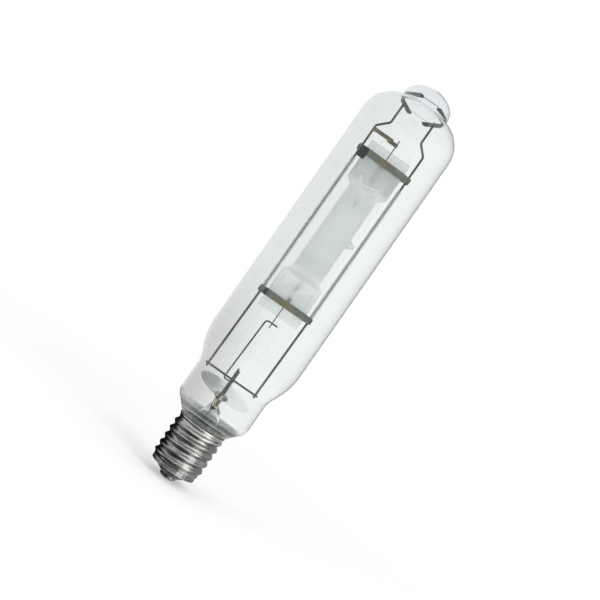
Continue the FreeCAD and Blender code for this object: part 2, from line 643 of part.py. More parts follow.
def shell_blank(name, inset):
    """Turned form of the shell without its thread, set in from the outer surface."""
    root = f"place.thread_root - {inset}"
    rim = f"place.rim_radius - {inset}"
    foot = f"place.shell_foot_radius - {inset}"
    shoulder = f"size.shell_shoulder_diameter / 2 - {inset}"
    return turned_body(name, [
        ("0", "size.shell_foot"),
        (foot, "size.shell_foot"),
        (shoulder, f"size.shell_shoulder + {inset} / 2"),
        (root, f"size.shell_shoulder + size.thread_runout + {inset} / 2"),
        (root, "size.rim_height - size.rim_lip - size.rim_flare"),
        (rim, "size.rim_height - size.rim_lip"),
        (rim, "size.rim_height"),
        ("0", "size.rim_height"),
    ])


def make_screw_shell():
    outside = fused("shell_outside", [
        shell_blank("shell_outer_blank", "0"),
        thread_ridge("outer_ridge", "0"),
    ])
    inside = fused("shell_inside", [
        shell_blank("shell_inner_blank", "size.shell_wall"),
        thread_ridge("inner_ridge", "size.shell_wall"),
    ])
    return cut("screw_shell", outside, [inside])


def make_cap_insulator():
    bore = "size.insulator_bore / 2"
    inner = "place.shell_foot_radius - size.shell_wall - size.seat"
    shoulder = "size.shell_shoulder_diameter / 2 - size.shell_wall - 2 * size.seat"
    return turned_body("cap_insulator", [
        (bore, "size.contact_height"),
        ("size.insulator_seat_diameter / 2", "size.contact_height"),
        ("place.insulator_radius", "size.shell_foot - size.insulator_band"),
        (inner, "size.shell_foot"),
        (shoulder, "size.shell_shoulder + 2 * size.seat"),
        ("place.thread_root - size.shell_wall - size.seat", "size.insulator_top"),
        (bore, "size.insulator_top"),
    ])


def make_centre_contact():
    hole = "size.solder_hole / 2"
    edge = "size.contact_edge"
    return turned_body("centre_contact", [
        (hole, "0"),
        (f"size.contact_diameter / 2 - {edge}", "0"),
        ("size.contact_diameter / 2", edge),
        ("size.contact_diameter / 2", "size.contact_height"),
        ("size.contact_shank_diameter / 2", "size.contact_height"),
        ("size.contact_shank_diameter / 2", "size.contact_height + size.contact_shank_length"),
        (hole, "size.contact_height + size.contact_shank_length"),
    ])


def make_contact_solder():
    """Solder round the end of the contact's wire, in the hole of the contact."""
    room = "2 * size.seat"
    top = "size.contact_height"
    plug = rod("solder_plug", f"size.solder_hole - {room}", "0", "0", "size.solder_recess", top)
    wire_room = rod("solder_wire_room", f"size.outer_lead_diameter + {room}", "0", "0",
                    "size.contact_wire_foot - size.seat", top)
    return cut("contact_solder", plug, [wire_room])


def beside_rim_wire(name, diameter, arm, foot, top):
    """Upright pin at the rim wire's heading, at a distance from the axis."""
    heading = "place.rim_wire_heading"
    return rod(name, diameter, f"{arm} * cos({heading})", f"{arm} * sin({heading})", foot, top)


def make_cement_ring():
    inner = "place.throat_radius + size.seat"
    outer = "place.thread_root - size.shell_wall - size.seat"
    ring = turned_body("cement_blank", [
        (inner, "size.cement_foot"),
        (outer, "size.cement_foot"),
        (outer, "size.cement_top"),
        (inner, "size.cement_top"),
    ])
    notch = beside_rim_wire("cement_notch", "place.thread_root - size.shell_wall - place.throat_radius",
                            "place.rim_wire_rise", "size.throat_foot", "size.rim_height")
    return cut("cement_ring", ring, [notch])


# Glass stem: flared tube, pressed flat round the leads and thickened to a rounded head
def ellipse(name, thickness, width, height):
    """Level ellipse of the press, long across the leads."""
    item = new("Part::Ellipse", name, MajorRadius=f"({width}) / 2", MinorRadius=f"({thickness}) / 2")
    return move(item, "size.press_shift", "size.press_depth_shift", height, turn="90; 0; 0")


def loft(name, sections, ruled=False):
    item = doc.addObject("Part::Loft", name)
    item.Sections = sections
    item.Solid = True
    item.Ruled = ruled
    return item


def make_glass_stem(wires):
    flare = new_body("flare")
    section = sketch_in(flare, "XZ_Plane", "flare_section")
    outer_foot = "place.throat_bore - size.seat"
    band(section, [
        (outer_foot, "size.flare_foot"),
        (outer_foot, "size.flare_turn", "size.flare_turn_radius"),
        ("size.flare_top_diameter / 2", "size.flare_top"),
    ], "size.flare_wall", 1)
    turned(flare, "Revolution", section, "flare_turned")
    root = new("Part::Ellipse", "press_root", MajorRadius="size.flare_top_diameter / 2",
               MinorRadius="size.flare_top_diameter / 2")
    move(root, z="size.flare_top - size.flare_wall", turn="90; 0; 0")
    narrow = ellipse("press_narrow", "size.press_thickness", "size.press_width", "size.press_foot")
    waist = ellipse("press_waist_ring", "size.press_thickness", "size.press_width", "size.press_waist")
    widest = ellipse("press_head_ring", "size.head_thickness", "size.press_width", "size.head_height")
    crest = ellipse("press_crest_ring", "size.head_crest_thickness", "size.head_crest_width",
                    "size.press_top")
    press = fused("press", [
        loft("press_lower", [root, narrow], ruled=True),
        loft("press_neck", [narrow, waist], ruled=True),
        loft("press_swell", [waist, widest], ruled=True),
        loft("press_head", [widest, crest], ruled=True),
    ])
    return cut("glass_stem", fused("stem_glass", [flare, press]), wires)


def lead_room(name, diameter, x, y, foot, top):
    """Channel for a lead through the press."""
    return rod(name, f"{diameter} + 2 * size.seat", x, y, foot, top)


def stem_channels(side, x, y):
    return [
        lead_room(side + "_lead_room", "size.stem_lead_diameter", x, y, "size.stem_lead_foot",
                  "size.press_top + size.seat"),
        lead_room(side + "_seal_room", "size.seal_wire_diameter", x, y,
                  "size.flare_top - 2 * size.flare_wall", "size.stem_lead_foot"),
    ]


def make_exhaust_tube():
    outer = "size.exhaust_diameter / 2"
    inner = f"{outer} - size.exhaust_wall"
    top = "size.flare_top - size.flare_wall - size.seat"
    return turned_body("exhaust_tube", [
        ("0", "size.exhaust_foot"),
        (f"{outer} / 2", "size.exhaust_foot"),
        (outer, f"size.exhaust_foot + {outer}"),
        (outer, top),
        (inner, top),
        (inner, f"size.exhaust_foot + {outer}"),
        ("0", "size.exhaust_foot + size.exhaust_wall"),
    ])


def make_contact_wire():
    wire = bent_wire("contact_wire", "size.outer_lead_diameter", [
        ("place.contact_wire_arm", "size.seal_wire_foot"),
        ("place.contact_wire_arm", "size.contact_wire_turn", "size.outer_lead_bend"),
        ("0", "size.contact_wire_land", "size.outer_lead_bend"),
        ("0", "size.contact_wire_foot"),
    ])
    return move(wire, turn="place.contact_wire_heading; 0; 0")


def make_rim_wire():
    bend = "size.outer_lead_bend"
    tight = "size.rim_wire_diameter / 2 + size.shell_wall / 2"
    wire = bent_wire("rim_wire", "size.rim_wire_diameter", [
        ("place.rim_wire_arm", "size.seal_wire_foot"),
        ("place.rim_wire_arm", "size.rim_wire_turn", bend),
        ("place.rim_wire_rise", "size.rim_wire_turn", bend),
        ("place.rim_wire_rise", "size.rim_height - size.rim_lip - size.rim_flare", tight),
        ("place.rim_wire_inside", "size.rim_height - size.rim_lip", tight),
        ("place.rim_wire_inside", "place.rim_wire_over", tight),
        ("place.rim_wire_outside", "place.rim_wire_over", tight),
        ("place.rim_wire_outside", "size.rim_wire_tail"),
    ])
    return move(wire, turn="place.rim_wire_heading; 0; 0")


def make_rim_solder():
    """Drop of solder on the outside of the rim, over the end of the wire."""
    heading = "place.rim_wire_heading"
    skin = "(place.rim_radius + size.seat)"
    bead = new("Part::Sphere", "solder_bead", Radius="size.rim_solder_diameter / 2")
    move(bead, f"{skin} * cos({heading})", f"{skin} * sin({heading})",
         "size.rim_height - size.rim_solder_diameter / 2")
    foot = "size.rim_height - 2 * size.rim_solder_diameter"
    top = "size.rim_height + size.rim_solder_diameter"
    rim = rod("solder_rim_room", f"2 * {skin}", "0", "0", foot, top)
    wire = beside_rim_wire("solder_rim_wire_room", "size.rim_wire_diameter + 2 * size.seat",
                           "place.rim_wire_outside", "size.rim_wire_tail - size.seat", top)
    return cut("rim_solder", bead, [rim, wire])


# Heat disc: a thin round plate that leans to the right and faces the front
def make_heat_disc():
    plate = new("Part::Cylinder", "disc_plate", Radius="size.disc_diameter / 2", Height="size.disc_thickness")
    move(plate, "size.disc_shift", "0", "size.disc_height", turn="0; size.disc_lean; size.disc_pitch")
    holes = [
        rod(side + "_disc_hole", "size.stem_lead_diameter + 2 * size.disc_hole_room", x, y,
            "size.stem_lead_foot", "size.front_lead_top")
        for side, x, y in (
            ("front", "size.front_lead_x", "place.front_lead_y"),
            ("back", "size.back_lead_x", "place.back_lead_y"),
        )
    ]
    return cut("heat_disc", plate, holes)


# Frame: two bent rods, a cross bar, sleeves and the clamps round the pinches
def make_frame_rod(side):
    upright = f"place.frame_{side}"
    neck = f"place.neck_{side}"
    return bent_wire(f"frame_rod_{side}", "size.rod_diameter", [
        (f"place.foot_{side}", "size.rod_foot"),
        (upright, "place.rod_kink", "size.rod_kink_radius"),
        (upright, "place.rod_shoulder", "size.rod_bend"),
        (neck, "place.rod_neck", "size.rod_bend"),
        (neck, "place.rod_top"),
    ])


def make_crossbar():
    bar = new("Part::Cylinder", "frame_crossbar", Radius="size.bar_diameter / 2",
              Height="size.rod_spacing + 2 * size.bar_overhang")
    return move(bar, "place.foot_left - size.bar_overhang", "place.bar_depth", "size.bar_height",
                turn="0; 90; 0")


def make_sleeve(side):
    foot = "place.lower_strap_top + size.seat"
    top = f"place.upper_strap_foot - size.{side}_sleeve_gap"
    outside = rod(f"{side}_sleeve_outside", "size.sleeve_diameter", f"place.frame_{side}", "0", foot, top)
    bore = rod(f"{side}_sleeve_bore", "size.sleeve_bore", f"place.frame_{side}", "0", foot, top)
    return cut(f"rod_sleeve_{side}", outside, [bore])


def make_strap(name, side, foot, height):
    """Flat strap past one side of a pinch, stepped in to the rods at both ends."""
    near = f"{side}place.strap_end_inside"
    far = f"{side}place.strap_inside"
    pinch_left = "size.frame_shift - place.pinch_half"
    pinch_right = "size.frame_shift + place.pinch_half"

    def draw(sketch):
        band(sketch, [
            ("place.frame_left - size.strap_overhang", near),
            (f"{pinch_left} - size.strap_ramp", near),
            (pinch_left, far),
            (pinch_right, far),
            (f"{pinch_right} + size.strap_ramp", near),
            ("place.frame_right + size.strap_overhang", near),
        ], "size.strap_thickness", -1 if side else 1)

    return padded(name, "XY_Plane", height, draw, offset=foot)


def make_getter():
    """Pressed block on the outside of the upper front strap, at the left rod."""
    back = "-(place.strap_inside + size.strap_thickness)"
    front = f"{back} - size.getter_thickness"
    left = "size.getter_left"
    right = "size.getter_left + size.getter_width"
    edge = "size.getter_edge"

    def draw(sketch):
        outline(sketch, [
            (left, back),
            (left, f"{front} + {edge}"),
            (f"{left} + {edge}", front),
            (f"{right} - {edge}", front),
            (right, f"{front} + {edge}"),
            (right, back),
        ])

    foot = "place.upper_strap_foot - size.getter_drop"
    return padded("getter", "XY_Plane", "size.getter_height", draw, offset=foot)


# Crown springs: bowed strips, pierced for the rods' ends, that steady the frame in the crown
def make_spring(side, sign):
    def draw(sketch):
        band(sketch, [
            (f"{sign}size.{side}_spring_tip", f"place.spring_middle + place.{side}_tip_rise"),
            (f"{sign}place.spring_corner", "place.spring_middle", "size.spring_bend"),
            (f"{sign}size.{side}_spring_heel", f"place.spring_middle - place.{side}_heel_drop"),
        ], "size.spring_thickness", 1 if sign else -1)

    strip = padded(f"{side}_spring_strip", "XZ_Plane", "size.spring_width", draw, middle=True)
    hole = rod(f"{side}_spring_hole", "size.rod_diameter + 2 * size.seat", f"place.neck_{side}", "0",
               f"place.spring_middle - place.{side}_heel_drop", "place.spring_middle")
    return cut(f"crown_spring_{side}", strip, [hole])


def make_tie_wire():
    wire = new("Part::Cylinder", "crown_tie_wire", Radius="size.tie_diameter / 2",
               Height="size.left_spring_tip + size.right_spring_tip + size.tie_diameter")
    return move(wire, "-size.left_spring_tip", "0", "place.tie_height", turn="0; 90; 0")


# Arc tube: round body, two flat pinches with thick edges, filling tip, hollow chamber
def pinch(name, foot, top):
    web = new("Part::Box", name + "_web", Length="size.pinch_width - size.pinch_bead",
              Width="size.pinch_web", Height=f"({top}) - ({foot})")
    move(web, "size.frame_shift - place.pinch_half + size.pinch_bead / 2", "-size.pinch_web / 2", foot)
    beads = [
        rod(f"{name}_bead_{side}", "size.pinch_bead",
            f"size.frame_shift {sign} (place.pinch_half - size.pinch_bead / 2)", "0", foot, top)
        for side, sign in (("left", "-"), ("right", "+"))
    ]
    return [web] + beads


def arc_shoulder(name, round_height, flat_height):
    """Loft from the round body to the outline of the pinch."""
    ring = new("Part::Ellipse", name + "_round", MajorRadius="place.arc_radius",
               MinorRadius="place.arc_radius")
    flat = new("Part::Ellipse", name + "_flat", MajorRadius="place.pinch_half - size.pinch_bead / 4",
               MinorRadius="size.arc_shoulder_end / 2")
    move(ring, "size.frame_shift", "0", round_height)
    move(flat, "size.frame_shift", "0", flat_height)
    return loft(name, [ring, flat])


def foil_room(name, foot):
    """Slot in a pinch for its foil."""
    box = new("Part::Box", name, Length="size.foil_width + 2 * size.seat",
              Width="size.foil_thickness + 2 * size.seat", Height="size.foil_length + 2 * size.seat")
    return move(box, "size.frame_shift - size.foil_width / 2 - size.seat",
                "-size.foil_thickness / 2 - size.seat", f"{foot} - size.seat")


def make_arc_tube():
    centre = "size.frame_shift"
    flat_foot = "size.arc_body_foot - size.arc_shoulder"
    flat_top = "place.arc_body_top + size.arc_shoulder"
    tube = rod("arc_body", "size.arc_diameter", centre, "0", "size.arc_body_foot", "place.arc_body_top")
    tip = new("Part::Cone", "filling_tip", Radius1="size.tip_root / 2", Radius2="size.tip_end / 2",
              Height="size.tip_reach + size.arc_wall / 2")
    move(tip, f"{centre} + place.arc_radius - size.arc_wall / 2", "0", "place.arc_middle - size.tip_drop",
         turn="0; 90; 0")
    solids = [tube, tip]
    solids.append(arc_shoulder("lower_shoulder", "size.arc_body_foot", flat_foot))
    solids.append(arc_shoulder("upper_shoulder", "place.arc_body_top", flat_top))
    solids += pinch("lower_pinch", "place.pinch_foot", flat_foot)
    solids += pinch("upper_pinch", flat_top, "place.pinch_top")
    chamber = turned_body("chamber", [
        ("0", "place.chamber_foot"),
        ("place.chamber_radius", "place.chamber_foot", "size.chamber_end_radius"),
        ("place.chamber_radius", "place.chamber_top", "size.chamber_end_radius"),
        ("0", "place.chamber_top"),
    ])
    room = "2 * size.seat"
    hollows = [
        move(chamber, centre),
        foil_room("lower_foil_room", "place.lower_foil_foot"),
        foil_room("upper_foil_room", "place.upper_foil_foot"),
        rod("lower_lead_room", f"size.arc_lead_diameter + {room}", centre, "0",
            "place.pinch_foot - size.seat", "place.lower_foil_foot"),
        rod("upper_lead_room", f"size.arc_lead_diameter + {room}", centre, "0",
            "place.upper_foil_foot + size.foil_length", "place.pinch_top + size.seat"),
        rod("lower_shank_room", f"size.electrode_diameter + {room}", centre, "0",
            "place.lower_foil_foot + size.foil_length", "place.chamber_foot + size.seat"),
        rod("upper_shank_room", f"size.electrode_diameter + {room}", centre, "0",
            "place.chamber_top - size.seat", "place.upper_foil_foot"),
    ]
    return cut("arc_tube", fused("arc_solid", solids), hollows)


def make_electrode(side, foot, top, coil_foot):
    """Shank with its overwinding near the tip."""
    shank = rod(f"{side}_shank", "size.electrode_diameter", "size.frame_shift", "0", foot, top)
    coil = rod(f"{side}_coil", "size.coil_diameter", "size.frame_shift", "0", coil_foot,
               f"{coil_foot} + place.coil_length")
    return fused(f"{side}_electrode", [shank, coil])


def make_foil(side, foot):
    foil = new("Part::Box", f"{side}_foil", Length="size.foil_width", Width="size.foil_thickness",
               Height="size.foil_length")
    return move(foil, "size.frame_shift - size.foil_width / 2", "-size.foil_thickness / 2", foot)


def make_link(name, left, right, foot, depth):
    ribbon = new("Part::Box", name, Length=f"{right} - ({left})", Width="size.link_thickness",
                 Height="size.link_height")
    return move(ribbon, left, depth, foot)


def make_riser():
    return bent_wire("riser_wire", "size.riser_diameter", [
        ("size.riser_hook_end", "place.riser_top"),
        ("size.riser_top_x", "place.riser_top", "size.riser_hook_bend"),
        ("size.riser_foot_x", "size.riser_foot", "size.riser_foot_bend"),
        ("size.front_lead_x + size.stem_lead_diameter / 2", "size.riser_foot"),
    ], depth="place.riser_depth")


def build():
    """Every piece of the lamp, in the order in which they are listed."""
    channels = stem_channels("front", "size.front_lead_x", "place.front_lead_y")
    channels += stem_channels("back", "size.back_lead_x", "place.back_lead_y")
    front = ("size.front_lead_x", "place.front_lead_y")
    back = ("size.back_lead_x", "place.back_lead_y")
    axis = ("size.frame_shift", "0")
    lead_foot = "size.stem_lead_foot"
    foil_end = "size.foil_length + size.seat"
    return [
        make_outer_bulb(),
        make_screw_shell(),
        make_cap_insulator(),
        make_centre_contact(),
        make_contact_solder(),
        make_cement_ring(),
        make_contact_wire(),
        make_rim_wire(),
        make_rim_solder(),
        make_glass_stem(channels),
        make_exhaust_tube(),
        rod("front_seal_wire", "size.seal_wire_diameter", *front, "size.seal_wire_foot", lead_foot),
        rod("back_seal_wire", "size.seal_wire_diameter", *back, "size.seal_wire_foot", lead_foot),
        rod("front_stem_lead", "size.stem_lead_diameter", *front, lead_foot, "size.front_lead_top"),
        rod("back_stem_lead", "size.stem_lead_diameter", *back, lead_foot, "size.back_lead_top"),
        make_heat_disc(),
        make_crossbar(),
        make_frame_rod("left"),
        make_frame_rod("right"),
        make_sleeve("left"),
        make_sleeve("right"),
        make_strap("lower_clamp_front", "-", "place.lower_strap_foot", "size.lower_strap_height"),
        make_strap("lower_clamp_back", "", "place.lower_strap_foot", "size.lower_strap_height"),
        make_strap("upper_clamp_front", "-", "place.upper_strap_foot", "size.upper_strap_height"),
        make_strap("upper_clamp_back", "", "place.upper_strap_foot", "size.upper_strap_height"),
        make_getter(),
        make_spring("left", "-"),
        make_spring("right", ""),
        make_tie_wire(),
        make_arc_tube(),
        make_electrode("lower", f"place.lower_foil_foot + {foil_end}",
                       "size.arc_body_foot + place.electrode_reach",
                       "size.arc_body_foot + place.electrode_reach - place.coil_setback - place.coil_length"),
        make_electrode("upper", "place.arc_body_top - place.electrode_reach",
                       "place.upper_foil_foot - size.seat",
                       "place.arc_body_top - place.electrode_reach + place.coil_setback"),
        make_foil("lower", "place.lower_foil_foot"),
        make_foil("upper", "place.upper_foil_foot"),
        rod("lower_lead", "size.arc_lead_diameter", *axis,
            "place.lower_lead_foot", "place.lower_foil_foot"),
        rod("upper_lead", "size.arc_lead_diameter", *axis, "place.upper_foil_foot + size.foil_length",
            "place.upper_lead_top"),
        make_link("upper_link_strip", "place.frame_left - place.rod_radius",
                  "size.link_split + size.link_lap", "place.link_foot", "place.link_depth"),
        make_link("upper_link_tab", "size.link_split", "size.frame_shift + size.arc_lead_diameter",
                  "place.link_foot - size.link_drop", "place.link_depth + size.link_thickness"),
        make_riser(),
    ]


pieces = build()
doc.recompute()
failed = [item.Label for item in doc.Objects if {"Invalid", "Error"} & set(item.State)]
if failed:
    raise RuntimeError("objects that failed: " + ", ".join(failed))
for piece in pieces:
    if piece.Shape.isNull() or not piece.Shape.isValid():
        raise RuntimeError("no sound shape: " + piece.Label)
os.makedirs("parts", exist_ok=True)
for piece in pieces:
    piece.Shape.exportStep(os.path.join("parts", piece.Label + ".step"))
    print(f"{piece.Label}: {len(piece.Shape.Solids)} solid, {piece.Shape.Volume:.1f} mm3")
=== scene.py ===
"""Looks of the tubular metal halide lamp, built round its construction.

The construction's frame is used as it is: metres, origin at the foot of the contact, +Z towards the crown.
Sizes below are in millimetres and are turned to metres when a mesh is made.
"""
import json
import math
import bpy
from mathutils import Matrix, Vector


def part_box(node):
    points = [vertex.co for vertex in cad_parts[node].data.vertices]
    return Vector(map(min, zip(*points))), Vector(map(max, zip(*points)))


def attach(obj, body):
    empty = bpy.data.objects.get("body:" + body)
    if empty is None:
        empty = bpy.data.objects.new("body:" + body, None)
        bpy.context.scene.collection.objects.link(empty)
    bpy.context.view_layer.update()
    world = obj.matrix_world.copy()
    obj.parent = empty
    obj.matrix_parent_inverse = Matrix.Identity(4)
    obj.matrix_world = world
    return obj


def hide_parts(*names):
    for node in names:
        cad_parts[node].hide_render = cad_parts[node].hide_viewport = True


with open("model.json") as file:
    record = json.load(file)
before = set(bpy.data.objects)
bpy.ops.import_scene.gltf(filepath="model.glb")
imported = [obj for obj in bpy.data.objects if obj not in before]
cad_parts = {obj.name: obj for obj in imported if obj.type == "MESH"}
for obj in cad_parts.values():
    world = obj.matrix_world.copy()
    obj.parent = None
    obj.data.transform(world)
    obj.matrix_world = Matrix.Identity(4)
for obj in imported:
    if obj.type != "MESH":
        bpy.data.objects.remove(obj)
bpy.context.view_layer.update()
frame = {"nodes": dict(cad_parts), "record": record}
scene = bpy.context.scene

MM = 0.001
NEARLY_ZERO = 1e-6
X, Z = 0, 2
WHITE = (1, 1, 1, 1)

# Outer bulb
GLASS_WALL = 1.2
THROAT_RADIUS = 16.2
THROAT_BEND = 3.0
NECK_RADIUS = 29.6
NECK_BEND = 8.5
CROWN_SIDE = 19.3
CROWN_DOME = 24.0
CROWN_CORNER = 12.0
WAIST_DROP = 0.75
WAIST_FILLET = 1.6
SHOULDER = 23.5
CONE_FOOT = 44.1
NECK_FOOT = 59.1
TAPER_FOOT = 86.6
TAPER_FOOT_BEND = 20.0
TAPER_TOP = 105.4
TAPER_TOP_BEND = 50.0
BULB_SEGMENTS = 160

# Screw shell
THREAD_ROOT = 17.95
THREAD_DEPTH = 1.8
THREAD_PITCH = 6.35
THREAD_START = 10.65
THREAD_FOOT = 11.4
THREAD_TOP = 45.2
THREAD_RUNOUT = 2.6
SHELL_SHEET = 0.4
SHELL_FOOT = 13.8
SHELL_SHOULDER = (18.8, 12.2)
RIM_RADIUS = 19.4
RIM_FLARE = (43.9, 46.1)
SHELL_SEGMENTS = 200

# Insulator and contact; band and ledge are radius and height over the foot
INSULATOR_BORE = 2.2
INSULATOR_FOOT = 7.5
INSULATOR_BAND = (12.95, 3.3)
INSULATOR_LEDGE = (13.3, 4.9)
INSULATOR_SEAT = 17.4
CONTACT_BORE = 1.2
CONTACT_STUD = 2.0
CONTACT_EDGE = 1.1
CONTACT_HEAD = 3.1

# Stem; the flare is radius, top and bend, and the press is height and half sizes
STEM_FLARE = (14.9, 41.0, 14.0)
STEM_NECK = (5.8, 60.0)
STEM_WALL = 1.1
STEM_SHIFT = (-1.3, 0.4)
STEM_PRESS = [(65.0, 3.1, 8.5), (68.4, 3.1, 8.5), (71.4, 6.2, 8.5), (73.0, 5.0, 7.6)]
STEM_HEAD = (3.4, 6.0)

# Frame
FRAME_X = -1.15
ROD_SPACING = 42.0
ROD_RADIUS = 0.9
ROD_BEND = 3.0
ROD_LEAN = 1.05
KINK_HEIGHT = 150.0
KINK_BEND = 120.0
ROD_SHOULDER = 299.6
ROD_NECK = 307.2
NECK_MIDDLE = -0.9
NECK_HALF = 13.5
SLEEVE_BORE = 1.05
RISER_ROUTE = [(3.6, 136.7), (-6.0, 136.7, 2.6), (-7.7, 84.5, 1.5), (-1.2, 84.5)]
RISER_RADIUS = 0.65
STRAIGHT_WIRES = [
    ("crossbar", "frame_crossbar", 0.85, X), ("tie_wire", "crown_tie_wire", 0.25, X),
    ("front_lead", "front_stem_lead", 0.8, Z), ("front_seal", "front_seal_wire", 0.5, Z),
    ("back_lead", "back_stem_lead", 0.8, Z), ("back_seal", "back_seal_wire", 0.5, Z)]

# Arc tube
ARC_RADIUS = 12.25
ARC_WALL = 1.6
ARC_FOOT = 180.5
ARC_TOP = 252.5
ARC_SHOULDER = 5.8
PINCH_HALF = 17.15
PINCH_WEB = 4.0
PINCH_BEAD = 5.8
PINCH_ROWS = 10
SHOULDER_ROWS = 14
CHAMBER_REACH = 3.5
CHAMBER_CORNER = 7.5
TIP_OUTLINE = [(0, 5.4), (1.7, 5.4, 1.0), (2.2, 3.0, 2.0), (4.35, -0.6), (0, -0.6)]
TIP_HEIGHT = 216.0
TIP_INSET = 0.1
ARC_LEAD_RADIUS = 0.45
SHANK_RADIUS = 0.7
WINDING_RADIUS = 1.2
WINDING_WIRE = 0.9
WINDING_REACH = (1.2, 7.2)
WINDING_END = 0.5

# Straps
STRAP_SHEET = 0.5
STRAP_NEAR = 1.25
STRAP_FAR = 3.25
STRAP_STEP = 2.0
STRAP_BEND = 1.2
STRAP_TILT = 0.022
STRAP_TRIM = 0.3
RIB_HEIGHT = 0.16
RIB_PLACE = 0.45
RIB_HALF = 0.5
RIB_INSET = 3
WELD_PLACES = (-1.2, 1.2)
WELD_BESIDE = 0.6

# Crown springs
SPRING_SLOPE = 29.0
SPRING_BEND = 3.0
SPRING_OUTER_BEND = 3.3
SPRING_SHEET = 0.5
SPRING_TOP_GAP = 0.28
SPRING_HALF = 4.0
SPRING_TIP_HALF = 0.4
SPRING_END_RADIUS = 3.0
SPRING_DISH = (2.3, 1.2)

# Link ribbons and getter; its face is inset and depth from the front
LINK_SHEET = 0.4
LINK_WELDS = (1.2, 1.4)
LINK_WAVE = 0.25
GETTER_FACE = [(0.0, 0.5), (0.15, 0.2), (0.45, 0.0), (0.9, 0.05), (1.15, 0.45), (1.5, 0.55)]


def shade(red, green, blue):
    """Linear colour from screen values of 0 to 255."""
    return tuple(((c / 255 + 0.055) / 1.055) ** 2.4 for c in (red, green, blue))


def span(node):
    """Lowest and highest corner of a node in millimetres."""
    low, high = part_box(node)
    return low / MM, high / MM


# Outlines
def circle(count):
    """Cosine and sine of evenly spread angles, once round."""
    angles = [2 * math.pi * k / count for k in range(count)]
    return [(math.cos(angle), math.sin(angle)) for angle in angles]


def smooth(t):
    """0 to 1 with soft ends."""
    return t * t * (3 - 2 * t)


def arc_points(centre, radius, start, end, steps):
    """Points of an arc from start to end, angles in degrees."""
    angles = [math.radians(start + (end - start) * i / steps) for i in range(steps + 1)]
    return [Vector((centre[0] + radius * math.cos(a), centre[1] + radius * math.sin(a))) for a in angles]


def rounded(corners, step=4.0):
    """Points along straight sides with round corners; a corner is (x, y) or (x, y, radius), and step is in
    degrees."""
    points = [Vector((corner[0], corner[1])) for corner in corners]
    path = [points[0]]
    for i in range(1, len(points) - 1):
        radius = corners[i][2] if len(corners[i]) > 2 else 0
        if not radius:
            path.append(points[i])
            continue
        back = (points[i - 1] - points[i]).normalized()
        ahead = (points[i + 1] - points[i]).normalized()
        half = back.angle(ahead) / 2
        reach = radius / math.tan(half)
        centre = points[i] + (back + ahead).normalized() * (radius / math.sin(half))
        first = points[i] + back * reach - centre
        last = points[i] + ahead * reach - centre
        turn = math.atan2(first.x * last.y - first.y * last.x, first.dot(last))
        steps = max(3, round(abs(math.degrees(turn)) / step))
        for k in range(steps + 1):
            path.append(centre + Matrix.Rotation(turn * k / steps, 2) @ first)
    path.append(points[-1])
    return path


def divided(path, longest):
    """The same path with long straight runs cut into shorter ones."""
    result = [path[0]]
    for a, b in zip(path, path[1:]):
        count = max(1, math.ceil((b - a).length / longest))
        result += [a.lerp(b, (i + 1) / count) for i in range(count)]
    return result


def heading(path, i):
    """Direction of a path at one of its points."""
    return (path[min(i + 1, len(path) - 1)] - path[max(i - 1, 0)]).normalized()


def offset_left(path, gap):
    """Path moved sideways by gap, to the left of its direction."""
    runs = [heading(path, i) for i in range(len(path))]
    return [point + Vector((-run.y, run.x)) * gap for point, run in zip(path, runs)]


def in_front_plane(path, depth=0.0):
    return [Vector((p.x, depth, p.y)) for p in path]


# Meshes
def new_object(name, data):
    item = bpy.data.objects.new(name, data)
    scene.collection.objects.link(item)
    return item


def new_piece(name, points, faces, sharp=40):
    """Object from points in millimetres, shaded smooth but for edges sharper than an angle in degrees."""
    mesh = bpy.data.meshes.new(name)
    mesh.from_pydata([tuple(Vector(p) * MM) for p in points], [], faces)
    mesh.validate()
    mesh.update()
    mesh.polygons.foreach_set("use_smooth", [True] * len(mesh.polygons))
    mesh.set_sharp_from_angle(angle=math.radians(sharp))
    return new_object(name, mesh)


def band_faces(low, high, columns):
    """Faces between two rows of points that each go once round, given by the first point of each."""
    pairs = [(k, (k + 1) % columns) for k in range(columns)]
    return [(low + k, low + ahead, high + ahead, high + k) for k, ahead in pairs]


def ring_faces(rows, columns, first=0, cap_start=False, cap_end=False, closed=False):
    """Faces between rows of points that each go once round."""
    faces = []
    for i in range(rows if closed else rows - 1):
        faces += band_faces(first + i * columns, first + (i + 1) % rows * columns, columns)
    if cap_start:
        faces.append(tuple(range(first + columns - 1, first - 1, -1)))
    if cap_end:
        last = first + (rows - 1) * columns
        faces.append(tuple(range(last, last + columns)))
    return faces


def capped(name, points, columns, sharp=40):
    """Piece through rows of points that each go once round, closed at both ends."""
    faces = ring_faces(len(points) // columns, columns, cap_start=True, cap_end=True)
    return new_piece(name, points, faces, sharp)


def lathe(name, profile, segments, closed=False, sharp=40):
    """Surface turned about +Z from (radius, height) points; the outside is on the right of the profile."""
    points, faces, rings = [], [], []
    for radius, height in profile:
        first = len(points)
        if radius < NEARLY_ZERO:
            points.append((0, 0, height))
        else:
            points += [(radius * c, radius * s, height) for c, s in circle(segments)]
        rings.append(range(first, len(points)))
    if closed:
        rings.append(rings[0])
    for low, high in zip(rings, rings[1:]):
        for k in range(segments):
            ahead = (k + 1) % segments
            corners = [low[k % len(low)], low[ahead % len(low)], high[ahead % len(high)], high[k % len(high)]]
            face = tuple(dict.fromkeys(corners))
            if len(face) > 2:
                faces.append(face)
    return new_piece(name, points, faces, sharp)


